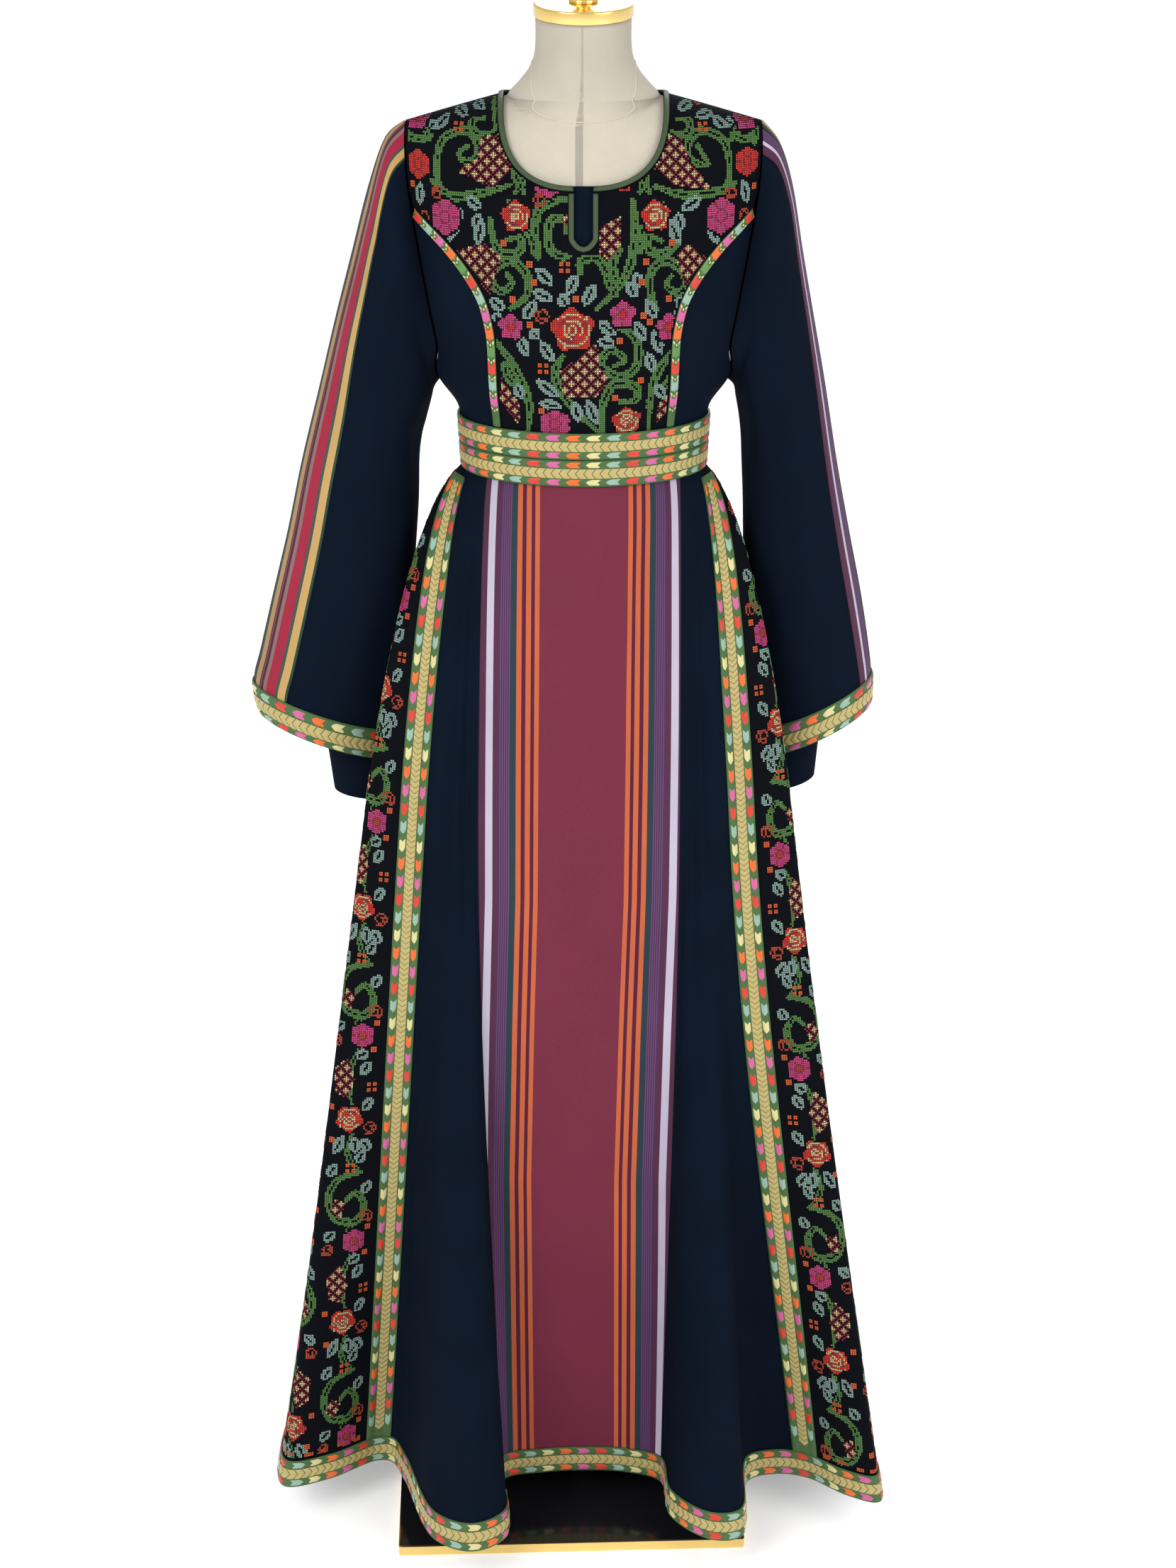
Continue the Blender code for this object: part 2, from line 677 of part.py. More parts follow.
def make_bindings():
    patches = []
    for _, side in SIDES:
        front = [neckline_coordinates(share) for share in NECK_SHARES]
        rows = binding_rows(side, -1, front, BINDING_WIDTH)
        patches.append((rows, side > 0))
        back = [back_neckline_coordinates(share) for share in NECK_BACK_SHARES]
        back_rows = binding_rows(side, 1, back, BINDING_WIDTH)
        weld = rows[-1]
        back_rows[-1] = weld
        back_rows[0][1][0].x = 0.0
        back_rows[0][1][1].x = 0.0
        patches.append((back_rows, side < 0))
    cloth("neck_binding", patches, "binding", BRAID_WALL, BINDING_LIFT)

    patches = []
    for _, side in SIDES:
        slit = [centre_coordinates(z, SLIT_HALF) for z in SLIT_HEIGHTS[1:]]
        slit.insert(0, centre_coordinates(SLIT_BOTTOM_Z))
        rows = []
        for k, (angle, turn) in enumerate(slit):
            edge = bodice_patch(side, -1, [(angle, turn)], [(angle, turn)], (0.0,))[0][0]
            x, z = SLIT_HALF + BINDING_WIDTH, SLIT_HEIGHTS[k]
            if k == 0:
                x, z = 0.0, SLIT_BOTTOM_Z - BINDING_WIDTH
            elif k == 1:
                z = SLIT_CORNER_Z
            far = bodice_coordinates(x, z)
            rows.append([edge, bodice_patch(side, -1, [far], [far], (0.0,))[0][0]])
        patches.append((rows, side > 0))
    cloth("neck_slit_binding", patches, "binding", BRAID_WALL, BINDING_LIFT)


# Skirt surface

def waist_ring(side, angle, z):
    half_width, front, back = smooth_at(TORSO, z)
    depth = front if angle < pi / 2 else back
    return Vector((side * half_width * sin(angle), -depth * cos(angle), z))


def fold_tables(side):
    return FOLDS_LEFT if side < 0 else FOLDS_RIGHT


def fold_index(name):
    return [row[0] for row in FOLDS_LEFT].index(name)


def fold_point(side, index, share):
    """Point of a fold line at a share of the skirt's height."""
    table = fold_tables(side)
    last = len(table) - 1
    if index < 0 or index > last:
        inside = -index if index < 0 else 2 * last - index
        return mirrored(fold_point(side, inside, share))
    _, angle, mid_x, mid_y, hem_x, hem_y, _ = table[index]
    z = BELT_BOTTOM_Z + (HEM_Z - BELT_BOTTOM_Z) * share
    top = waist_ring(side, radians(angle), max(z, BELT_BOTTOM_Z))
    if share <= 0:
        return top
    mid = Vector((side * mid_x, mid_y, top.z))
    hem = Vector((side * hem_x, hem_y, top.z))
    if share < FOLD_START:
        low, high = FLARE_SOFTNESS ** FLARE_POWER, (FOLD_START + FLARE_SOFTNESS) ** FLARE_POWER
        point = top + (mid - top) * (((share + FLARE_SOFTNESS) ** FLARE_POWER - low) / (high - low))
    else:
        length = 1 - FOLD_START
        slope_mid = (mid - top) * (FLARE_POWER / FOLD_START) * length
        slope_hem = (hem - mid) * 1.05
        point = hermite(mid, hem, slope_mid, slope_hem, (share - FOLD_START) / length)
    point.z = z
    return point


def curve_between(before, a, b, after, f):
    """Point from a to b on a smooth curve that doesn't loop where folds are close."""
    first = max((a - before).length, 1e-6) ** 0.5
    middle = max((b - a).length, 1e-6) ** 0.5
    last = max((after - b).length, 1e-6) ** 0.5
    slope_a = ((a - before) / first - (b - before) / (first + middle) + (b - a) / middle) * middle
    slope_b = ((b - a) / middle - (after - a) / (middle + last) + (after - b) / last) * middle
    return hermite(a, b, slope_a, slope_b, f)


def skirt_point(side, place, share):
    """Point of the skirt. place counts fold lines from the centre front, share runs
    from the belt's lower edge at 0 to the hem at 1."""
    last = len(fold_tables(side)) - 1
    if place < 0:
        return mirrored(skirt_point(side, -place, share))
    if place > last:
        return mirrored(skirt_point(side, 2 * last - place, share))
    k = min(int(place), last - 1)
    before, a, b, after = [fold_point(side, k + n, share) for n in (-1, 0, 1, 2)]
    return curve_between(before, a, b, after, place - k)


def mirrored(point):
    return Vector((-point.x, point.y, point.z))


def skirt_entry(side, place, share):
    def surface(u, v):
        return skirt_point(side, u, v)

    share_in = max(share, 0.002)
    normal = surface_normal(surface, place, share_in, -side)
    if share <= 0:
        flat = Vector((normal.x, normal.y, 0.0))
        normal = flat.normalized()
    return [surface(place, share), normal]


def place_beside(side, place, share, distance):
    """Place on the skirt at a distance along the section, towards the back if positive."""
    step = 0.02 if distance > 0 else -0.02
    here = skirt_point(side, place, share)
    left = abs(distance)
    while True:
        there = skirt_point(side, place + step, share)
        length = (there - here).length
        if length >= left:
            return place + step * left / length
        left -= length
        place += step
        here = there


def strip_places(first, last):
    """Places of the strips between two fold lines."""
    places = []
    for k in range(first, last):
        strips = FOLDS_LEFT[k][6]
        places += [k + n / strips for n in range(strips)]
    return places + [last]


PANEL_EDGE = fold_index("panel_edge")
BRAID_LINE = fold_index("braid")
SIDE_BACK = fold_index(SIDE_PANEL_BACK_FOLD)
LAST_FOLD = len(FOLDS_LEFT) - 1


def front_places(side, share):
    """Columns of the plain front panel, the last two at the edge and middle of the braid."""
    edge = place_beside(side, BRAID_LINE, share, -BRAID_WIDTH / 2)
    plain = strip_places(PANEL_EDGE, BRAID_LINE - 1)
    scale = (edge - PANEL_EDGE) / (BRAID_LINE - 1 - PANEL_EDGE)
    return [PANEL_EDGE + (place - PANEL_EDGE) * scale for place in plain] + [BRAID_LINE]


def side_places(side, share):
    """Columns of the embroidered side panel, the first two under the braid."""
    edge = place_beside(side, BRAID_LINE, share, BRAID_WIDTH / 2)
    plain = strip_places(BRAID_LINE, SIDE_BACK)
    scale = (SIDE_BACK - edge) / (SIDE_BACK - BRAID_LINE)
    return [BRAID_LINE] + [edge + (place - BRAID_LINE) * scale for place in plain]


def centre_places(side, share):
    return strip_places(0, PANEL_EDGE)


def back_places(side, share):
    return strip_places(SIDE_BACK, LAST_FOLD)


def skirt_rows(side, places, shares):
    return [[skirt_entry(side, place, share) for place in places(side, share)] for share in shares]


def add_waist_band(rows):
    """Row above the belt's lower edge, up to the waist seam."""
    top = []
    for point, normal in rows[0]:
        half_width, front, back = smooth_at(TORSO, WAIST_Z)
        low_width, low_front, low_back = smooth_at(TORSO, BELT_BOTTOM_Z)
        depth = front / low_front if point.y < 0 else back / low_back
        place = Vector((point.x * half_width / low_width, point.y * depth, WAIST_Z - HALF_SEAM))
        top.append([place, normal.copy()])
    rows.insert(0, top)


def make_skirt_panel(name, places, finish_name, sides, seams):
    """sides: the halves that the panel covers. seams: whether its first and last
    columns lie at a seam."""
    patches = []
    for side in sides:
        rows = skirt_rows(side, places, SKIRT_ROWS)
        add_waist_band(rows)
        ease_columns(rows, seams[0], seams[1])
        patches.append((rows, side > 0))
    cloth(name, patches, finish_name)


def make_skirt():
    both = (-1, 1)
    make_skirt_panel("skirt_centre_panel", centre_places, "striped_cloth", both, (False, True))
    for name, side in SIDES:
        make_skirt_panel("skirt_front_" + name, front_places, "black_crepe", (side,), (True, True))
        make_skirt_panel("skirt_side_" + name, side_places, "embroidered_cloth", (side,), (True, True))
    make_skirt_panel("skirt_back", back_places, "black_crepe", both, (True, False))


def braid_places(side, share):
    first = place_beside(side, BRAID_LINE, share, -BRAID_WIDTH / 2)
    last = place_beside(side, BRAID_LINE, share, BRAID_WIDTH / 2)
    return [first, BRAID_LINE, last]


def make_side_braids():
    shares = (0.006,) + SKIRT_ROWS[1:-1]
    for name, side in SIDES:
        rows = skirt_rows(side, braid_places, shares)
        ease_row(rows, -1, -2)
        ease_row(rows, -1, -2)
        cloth("side_braid_" + name, [(rows, side > 0)], "braid", BRAID_WALL, LIFT + BRAID_WALL)


def hem_places(side, share):
    places = centre_places(side, share) + front_places(side, share)[1:]
    return places + side_places(side, share)[1:] + back_places(side, share)[1:]


def make_hem_braid():
    patches = []
    for side in (-1, 1):
        rows = skirt_rows(side, hem_places, (HEM_BRAID_SHARE, 1.0))
        patches.append((rows, side > 0))
    cloth("hem_braid", patches, "braid", BRAID_WALL, LIFT + BRAID_WALL)


# Belt

def belt_ring(z, count=64):
    ring = []
    for k in range(count):
        angle = 2 * pi * k / count
        half_width, front, back = smooth_at(TORSO, z)
        depth = front if cos(angle) > 0 else back
        point = Vector((half_width * sin(angle), -depth * cos(angle), z))
        normal = Vector((sin(angle) / half_width, -cos(angle) / depth, 0.0)).normalized()
        ring.append([point, normal])
    return ring


def make_belt():
    middle = (BELT_TOP_Z + BELT_BOTTOM_Z) / 2
    bands = (
        ("belt_upper", BELT_TOP_Z, middle + HALF_SEAM * 2),
        ("belt_lower", middle - HALF_SEAM * 2, BELT_BOTTOM_Z),
    )
    for name, top, bottom in bands:
        rows = [belt_ring(top), belt_ring((top + bottom) / 2), belt_ring(bottom)]
        cloth(name, [(rows, False)], "braid", BELT_WALL, BELT_LIFT, joined=True)


# Sleeves

def armhole_point(side, turn_angle):
    """Point of the armhole at an angle round the sleeve: 0 at the shoulder, a quarter
    turn at the front, a half turn at the underarm."""
    step = turn_angle / (2 * pi) * SLEEVE_AROUND
    face = -1 if sin(turn_angle) >= 0 else 1
    z = armhole_z(step)
    angle, turn = armhole_coordinates(z)
    point = bodice_point(side, face, angle, turn)
    point.x += side * ARMHOLE_GAP
    return point


def ring_point(side, row, turn_angle):
    outer_x, outer_z, inner_x, inner_z, centre_y, half_depth = row
    c, s = cos(turn_angle), sin(turn_angle)
    x = (outer_x + inner_x) / 2 + (outer_x - inner_x) / 2 * c
    z = (outer_z + inner_z) / 2 + (outer_z - inner_z) / 2 * c
    return Vector((side * x, centre_y - half_depth * s, z))


def tube_point(side, rings, turn_angle, position):
    """Point on a smooth tube through rings, which are functions of the angle."""
    last = len(rings) - 1
    position = min(max(position, 0.0), float(last))
    k = min(int(position), last - 1)
    f = position - k
    a, b = rings[k](turn_angle), rings[k + 1](turn_angle)
    before = rings[max(k - 1, 0)](turn_angle)
    after = rings[min(k + 2, last)](turn_angle)
    return hermite(a, b, (b - before) / 2, (after - a) / 2, f)


def sleeve_rings(side):
    table = SLEEVE_LEFT if side < 0 else SLEEVE_RIGHT
    rings = [lambda turn: armhole_point(side, turn)]
    for row in table:
        rings.append(lambda turn, row=row: ring_point(side, row, turn))
    return rings


def tube_entry(side, rings, turn_angle, position):
    step = 0.002
    last = len(rings) - 1
    low, high = max(position - step, 0.0), min(position + step, float(last))
    around = tube_point(side, rings, turn_angle + step, position) - tube_point(side, rings, turn_angle - step, position)
    along = tube_point(side, rings, turn_angle, high) - tube_point(side, rings, turn_angle, low)
    normal = around.cross(along).normalized() * side
    return [tube_point(side, rings, turn_angle, position), normal]


def angle_along(side, rings, position, start, distance):
    """Angle on the sleeve at a distance round it from a start angle."""
    step = 0.02 if distance > 0 else -0.02
    turn, left = start, abs(distance)
    here = tube_point(side, rings, turn, position)
    while True:
        there = tube_point(side, rings, turn + step, position)
        length = (there - here).length
        if length >= left:
            return turn + step * left / length
        left -= length
        turn += step
        here = there


def stripe_span(side, rings, position):
    """Angles of the back and front edge of the striped insert at a position."""
    centre = STRIPE_TURN[side] * min(1.0, 0.3 + position / 3)
    half = SLEEVE_STRIPE_WIDTH / 2
    return [angle_along(side, rings, position, centre, distance) for distance in (-half, half)]


def sleeve_positions(rings):
    return [float(k) for k in range(len(rings))]


def stripe_angles(side, rings, position):
    back, front = stripe_span(side, rings, position)
    return [back + (front - back) * f / 5 for f in range(6)]


def main_angles(side, rings, position):
    back, front = stripe_span(side, rings, position)
    return [front + (2 * pi + back - front) * k / SLEEVE_STRIPS for k in range(SLEEVE_STRIPS + 1)]


def make_sleeves():
    for name, side in SIDES:
        rings = sleeve_rings(side)
        positions = sleeve_positions(rings)
        whole, stripe = [], []
        for position in positions:
            stripe.append([tube_entry(side, rings, a, position) for a in stripe_angles(side, rings, position)])
            whole.append([tube_entry(side, rings, a, position) for a in main_angles(side, rings, position)])
        ease_columns(stripe, True, True)
        ease_columns(whole, True, True)
        cloth("sleeve_stripe_" + name, [(stripe, side < 0)], "striped_cloth")
        cloth("sleeve_" + name, [(whole, side < 0)], "black_crepe")
        cuff = []
        for position in positions[-2:]:
            angles = stripe_angles(side, rings, position) + main_angles(side, rings, position)[1:-1]
            cuff.append([tube_entry(side, rings, a, position) for a in angles])
        cloth("cuff_band_" + name, [(cuff, side < 0)], "braid", BRAID_WALL, LIFT + BRAID_WALL, joined=True)


def make_inner_sleeves():
    for name, side in SIDES:
        outer = SLEEVE_LEFT if side < 0 else SLEEVE_RIGHT
        table = INNER_SLEEVE_LEFT if side < 0 else INNER_SLEEVE_RIGHT
        reach = WALL + SLEEVE_CLEARANCE[name]
        row = outer[INNER_SLEEVE_JOIN]
        narrower = reach * INNER_SLEEVE_EASE
        join = (row[0] - narrower, row[1], row[2] + narrower, row[3], row[4], row[5] - reach)
        rings = [lambda turn, row=row: ring_point(side, row, turn) for row in (join,) + table]
        rows = []
        for position in range(len(rings)):
            angles = [2 * pi * k / INNER_SLEEVE_AROUND for k in range(INNER_SLEEVE_AROUND)]
            rows.append([tube_entry(side, rings, a, float(position)) for a in angles])
        cloth("inner_sleeve_" + name, [(rows, side < 0)], "black_crepe", joined=True)


# Dress form and stand

FORM_END_X = 0.166
FORM_ROWS = (0.860, 0.900, 0.960, 1.020, 1.080, 1.140, 1.185, 1.222, 1.260, 1.292, 1.330, 1.370, 1.410,
             1.450, 1.485, 1.510, 1.530, 1.545, 1.556, 1.5655, 1.5712, 1.5742, 1.5810, 1.5900, 1.6020, 1.6200, NECK_TOP_Z)
FORM_AROUND = 32


def shoulder_reach(z):
    """How far from the middle the form reaches under the shoulder line at a height."""
    span = max(SHOULDER_PEAK_Z - WALL - FORM_CLEARANCE - z, 0.0) / SHOULDER_SLOPE
    return sqrt(max(span * span - SHOULDER_ROUND ** 2, 0.0))


def form_section(z):
    """Half width of the form at a height and its depth at x, at the front or back."""
    clearance = WALL + FORM_CLEARANCE
    neck_width, neck_front, neck_back = smooth_at(NECK, max(z, NECK[0][0]))
    if z < 1.28:
        half_width, front, back = smooth_at(FORM, z)

        def depth(x, face):
            return (front if face < 0 else back) * sqrt(max(1 - (x / half_width) ** 2, 0.0))
        return half_width, depth
    body_width = smooth_at(TORSO, z)[0]
    end = min(FORM_END_X, body_width - 2 * clearance - 0.012 * (z < 1.4))
    half_width = max(min(end, shoulder_reach(z)), neck_width if z > 1.57 else 0.0)

    def depth(x, face):
        torso = smooth_at(TORSO, z)
        drop = shoulder_z(x) - clearance - z
        body = 0.0
        if drop > 0 and x < end:
            turn = turn_from_drop(drop)
            body = torso[1 if face < 0 else 2] * sqrt(1 - (x / torso[0]) ** 2) * sin(min(turn, pi / 2))
            body = max(body - clearance, body / 2) * sqrt(1 - (x / end) ** 8)
        neck = 0.0
        if x < neck_width and z > NECK[0][0]:
            neck = (neck_front if face < 0 else neck_back) * sqrt(1 - (x / neck_width) ** 2)
        return max(body, neck)
    return half_width, depth


def make_form():
    mesh = bmesh.new()
    rings = []
    for z in FORM_ROWS:
        half_width, depth = form_section(z)
        ring = []
        for k in range(FORM_AROUND):
            angle = 2 * pi * k / FORM_AROUND
            x = half_width * sin(angle)
            face = -1 if cos(angle) > 0 else 1
            y = face * depth(min(abs(x), half_width * 0.9999), face)
            if abs(cos(angle)) < 1e-6:
                y = 0.0
            height = z + NECK_TILT * y * (z == NECK_TOP_Z)
            ring.append(mesh.verts.new((x, y, height)))
        rings.append(ring)
    for low, high in zip(rings, rings[1:]):
        for k in range(FORM_AROUND):
            n = (k + 1) % FORM_AROUND
            mesh.faces.new([low[k], low[n], high[n], high[k]])
    mesh.faces.new(rings[0][::-1])
    mesh.faces.new(rings[-1])
    bmesh.ops.triangulate(mesh, faces=mesh.faces[:])
    add_object("form_torso", mesh, "linen")


def make_cap():
    """Oval neck cap that lies on the tilted top of the neck, and its knob."""
    lean = Matrix.Rotation(atan2(NECK_TILT, 1.0), 4, "X")
    place = Matrix.Translation((0.0, 0.0, NECK_TOP_Z + LIFT)) @ lean
    mesh = bmesh.new()
    bmesh.ops.create_cone(mesh, cap_ends=True, segments=40, radius1=1.0, radius2=1.0, depth=CAP_HEIGHT)
    bmesh.ops.scale(mesh, verts=mesh.verts[:], vec=(CAP_HALF_WIDTH, CAP_HALF_DEPTH, 1.0))
    bmesh.ops.translate(mesh, verts=mesh.verts[:], vec=(0.0, 0.0, CAP_HEIGHT / 2))
    rim = [edge for edge in mesh.edges if all(vert.co.z > CAP_HEIGHT * 0.9 for vert in edge.verts)]
    bmesh.ops.bevel(mesh, geom=rim, offset=CAP_BEVEL, segments=2, affect="EDGES", profile=0.5)
    bmesh.ops.transform(mesh, matrix=place, verts=mesh.verts[:])
    add_object("neck_cap", mesh, "brass")

    mesh = bmesh.new()
    segments = 24
    base = CAP_HEIGHT + LIFT
    rings = []
    for radius, height in KNOB_PROFILE:
        ring = [
            mesh.verts.new((radius * cos(2 * pi * k / segments), radius * sin(2 * pi * k / segments), base + height))
            for k in range(segments)
        ]
        rings.append(ring)
    for low, high in zip(rings, rings[1:]):
        for k in range(segments):
            n = (k + 1) % segments
            mesh.faces.new([low[k], low[n], high[n], high[k]])
    mesh.faces.new(rings[0][::-1])
    mesh.faces.new(rings[-1])
    bmesh.ops.transform(mesh, matrix=place, verts=mesh.verts[:])
    add_object("cap_knob", mesh, "brass")


def make_stand():
    mesh = bmesh.new()
    bmesh.ops.create_cube(mesh, size=1.0)
    bmesh.ops.scale(mesh, verts=mesh.verts[:], vec=(PLATE_WIDTH, PLATE_DEPTH, PLATE_TOP_Z))
    centre = Vector((PLATE_CENTRE_X, PLATE_FRONT_Y + PLATE_DEPTH / 2, PLATE_TOP_Z / 2))
    upright = [edge for edge in mesh.edges if abs(edge.verts[0].co.z - edge.verts[1].co.z) > PLATE_TOP_Z / 2]
    bmesh.ops.bevel(mesh, geom=upright, offset=PLATE_CORNER, segments=3, affect="EDGES", profile=0.5)
    turn = Matrix.Translation(centre) @ Matrix.Rotation(PLATE_YAW, 4, "Z")
    bmesh.ops.transform(mesh, matrix=turn, verts=mesh.verts[:])
    add_object("stand_base", mesh, "black_gloss")

    mesh = bmesh.new()
    bottom, top = PLATE_TOP_Z + LIFT, FORM_BOTTOM_Z - LIFT
    bmesh.ops.create_cone(mesh, cap_ends=True, segments=24, radius1=POLE_RADIUS, radius2=POLE_RADIUS, depth=top - bottom)
    bmesh.ops.translate(mesh, verts=mesh.verts[:], vec=(0.0, 0.0, (top + bottom) / 2))
    add_object("stand_pole", mesh, "steel")


def main():
    clear_scene()
    make_yoke()
    make_side_fronts()
    make_bodice_back()
    make_yoke_trims()
    make_bindings()
    make_sleeves()
    make_inner_sleeves()
    make_skirt()
    make_side_braids()
    make_hem_braid()
    make_belt()
    make_form()
    make_cap()
    make_stand()


main()
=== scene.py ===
"""Black thobe dress with cross-stitched yoke and side panels, striped panels, woven braids
and belt, shown on a limbless linen dress form.

Metres, +Z up, the front of the dress faces -Y. "left" is the viewer's left, at -X."""

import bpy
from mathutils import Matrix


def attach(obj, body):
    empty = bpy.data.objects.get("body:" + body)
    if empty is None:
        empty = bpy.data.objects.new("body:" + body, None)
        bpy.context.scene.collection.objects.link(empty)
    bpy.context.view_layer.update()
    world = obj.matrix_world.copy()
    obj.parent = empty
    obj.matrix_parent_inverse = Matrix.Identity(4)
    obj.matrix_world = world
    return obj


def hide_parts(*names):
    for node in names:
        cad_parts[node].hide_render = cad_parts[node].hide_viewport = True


bl_info = {
    "name": "Thobe dress on a dress form",
    "version": (1, 0, 0),
    "blender": (4, 5, 0),
    "location": "View3D > Sidebar > Thobe",
    "description": "Makes a black embroidered thobe dress with woven braids on a linen dress form",
    "category": "Object",
}

from functools import partial
from math import atan2, pi, radians, sin, sqrt

import bmesh
import bpy
import numpy as np
from bpy.props import FloatProperty, FloatVectorProperty, PointerProperty
from mathutils import Matrix, Vector

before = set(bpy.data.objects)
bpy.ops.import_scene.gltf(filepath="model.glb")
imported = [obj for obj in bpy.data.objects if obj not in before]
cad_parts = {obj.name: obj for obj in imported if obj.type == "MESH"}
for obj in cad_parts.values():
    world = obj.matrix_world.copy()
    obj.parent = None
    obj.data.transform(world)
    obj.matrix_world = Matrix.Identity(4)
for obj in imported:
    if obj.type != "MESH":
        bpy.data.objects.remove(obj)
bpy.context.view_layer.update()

SIDES = (("left", -1), ("right", 1))

# Sizes shared with the construction solids
WAIST_Z, BELT_TOP_Z, BELT_BOTTOM_Z = 1.222, 1.251, 1.195
UNDERARM_Z, HEM_Z = 1.285, 0.050
FORM_BOTTOM_Z, NECK_TOP_Z, PLATE_TOP_Z = 0.860, 1.652, 0.012

SHOULDER_PEAK_Z, SHOULDER_SLOPE, SHOULDER_ROUND, SHOULDER_DROP = 1.6031, 0.29, 0.040, 0.130
NECK_POINT_X, SHOULDER_TIP_DEG = 0.0805, 67.6
NECK_FRONT_Z, NECK_POWER, NECK_BACK_DEG = 1.4975, 2.7, 33.0
SLIT_HALF, SLIT_BOTTOM_Z, BINDING_WIDTH = 0.0095, 1.440, 0.005
BRAID_WIDTH, YOKE_TRIM_WIDTH, SLEEVE_STRIPE_WIDTH = 0.031, 0.009, 0.084
WALL, FORM_CLEARANCE, SMALL_GAP = 0.0018, 0.0018, 0.0004

# Level rings: height, half width, depth in front and depth behind, in mm
TORSO = np.array((
    (1180, 126, 100, 92), (1222, 128, 101, 93), (1260, 132, 105, 96), (1292, 153, 112, 101),
    (1350, 166, 117, 105), (1430, 181, 109, 107), (1510, 193, 100, 103), (1620, 194, 95, 98),
)) / 1000
FORM = np.array((
    (860, 140, 88, 92), (940, 150, 94, 100), (1040, 148, 94, 100), (1140, 130, 92, 90),
    (1222, 119, 92, 84), (1280, 134, 102, 90),
)) / 1000
# The same for the neck, and x and height along the yoke's outer edge, in tenths of a mm
NECK = np.array((
    (15300, 780, 640, 480), (15740, 768, 605, 470), (15894, 640, 570, 468), (16012, 548, 540, 470),
    (16185, 487, 515, 465), (16620, 484, 500, 460),
)) / 10000
YOKE_EDGE = np.array((
    (875, 12220), (880, 12525), (910, 12900), (925, 13371), (945, 13565), (1000, 13787), (1081, 13957),
    (1213, 14148), (1379, 14338), (1566, 14507), (1705, 14630),
)) / 10000
SLIT_ROUND = 0.008
YOKE_CENTRE_Z = (
    WAIST_Z, 1.250, 1.290, 1.335, 1.365, 1.392, 1.416, SLIT_BOTTOM_Z, SLIT_BOTTOM_Z + SLIT_ROUND, 1.472)
NECK_SHARES = (0.0, 0.22, 0.42, 0.62, 0.78, 0.90, 0.965, 0.99, 1.0)
NECK_BACK_SHARES = (0.0, 0.28, 0.55, 0.80, 1.0)
YOKE_ARMHOLE_STEPS = (4.0, 3.3, 2.6, 2.0, 1.5, 1.0, 0.5, 0.0)
SIDE_ARMHOLE_STEPS = (12.0, 11.0, 10.0, 9.0, 8.0, 7.0, 6.0, 5.4, 4.8)
BACK_ARMHOLE_STEPS = (12.0, 11.0, 10.0, 9.0, 8.0, 7.0, 6.0, 5.0, 4.0, 3.0, 2.2, 1.4, 0.7, 0.0)
BACK_CENTRE_Z = (WAIST_Z, 1.255, 1.290, 1.315, 1.345, 1.380, 1.415, 1.450, 1.485, 1.520, 1.545)

# Skirt folds from the centre front to the centre back, and their angles at the waist
FOLD_NAMES = (
    "centre_front", "panel_middle", "panel_edge", "lobe_inner", "lobe_front", "lobe_outer", "lobe_foot",
    "recess", "braid", "corner_inner", "corner", "side_front", "side", "side_back", "back_corner",
    "back_recess", "back_lobe_outer", "back_lobe", "back_lobe_inner", "back_rise", "centre_back",
)
FOLD_DEG = (0, 26, 52, 56, 60, 65, 69, 73, 77, 83, 90, 98, 106, 114, 123, 133, 143, 152, 161, 171, 180)
# x and y of each fold a third of the way down, and at the hem, in mm
FOLDS = {
    -1: np.array((
        (0, -137, 0, -167), (57, -134, 47, -171), (112, -122, 93, -186), (121, -119, 87, -292),
        (132, -115, 122, -318), (145, -110, 163, -298), (158, -105, 204, -187), (168, -100, 222, -150),
        (181, -93, 240, -148), (213, -85, 293, -184), (234, -70, 341, -198), (212, -35, 351, -135),
        (186, 0, 325, -25), (176, 45, 333, 70), (172, 90, 305, 165), (150, 118, 240, 190),
        (125, 135, 182, 268), (95, 145, 137, 300), (65, 150, 90, 262), (32, 153, 45, 212),
        (0, 155, 0, 202),
    )) / 1000,
    1: np.array((
        (0, -137, 0, -167), (52, -134, 45, -170), (102, -123, 87, -188), (112, -120, 99, -256),
        (124, -116, 142, -297), (136, -111, 173, -292), (148, -106, 187, -187), (156, -101, 224, -174),
        (167, -95, 257, -182), (201, -86, 300, -216), (222, -72, 333, -228), (204, -36, 331, -150),
        (180, 0, 316, -30), (172, 45, 330, 75), (168, 90, 298, 170), (148, 118, 232, 194),
        (124, 135, 176, 262), (95, 145, 130, 290), (65, 150, 86, 256), (32, 153, 43, 210),
        (0, 155, 0, 202),
    )) / 1000,
}
PANEL_EDGE, BRAID_LINE = FOLD_NAMES.index("panel_edge"), FOLD_NAMES.index("braid")
SIDE_BACK, LAST_FOLD = FOLD_NAMES.index("side_back"), len(FOLD_NAMES) - 1
FOLD_START, FLARE_POWER, FLARE_SOFTNESS = 0.30, 0.45, 0.004
SKIRT_DROP = BELT_BOTTOM_Z - HEM_Z
HEM_BRAID_SHARE = 1.0 - BRAID_WIDTH / SKIRT_DROP
WAIST_SHARE = -(WAIST_Z - BELT_BOTTOM_Z) / SKIRT_DROP

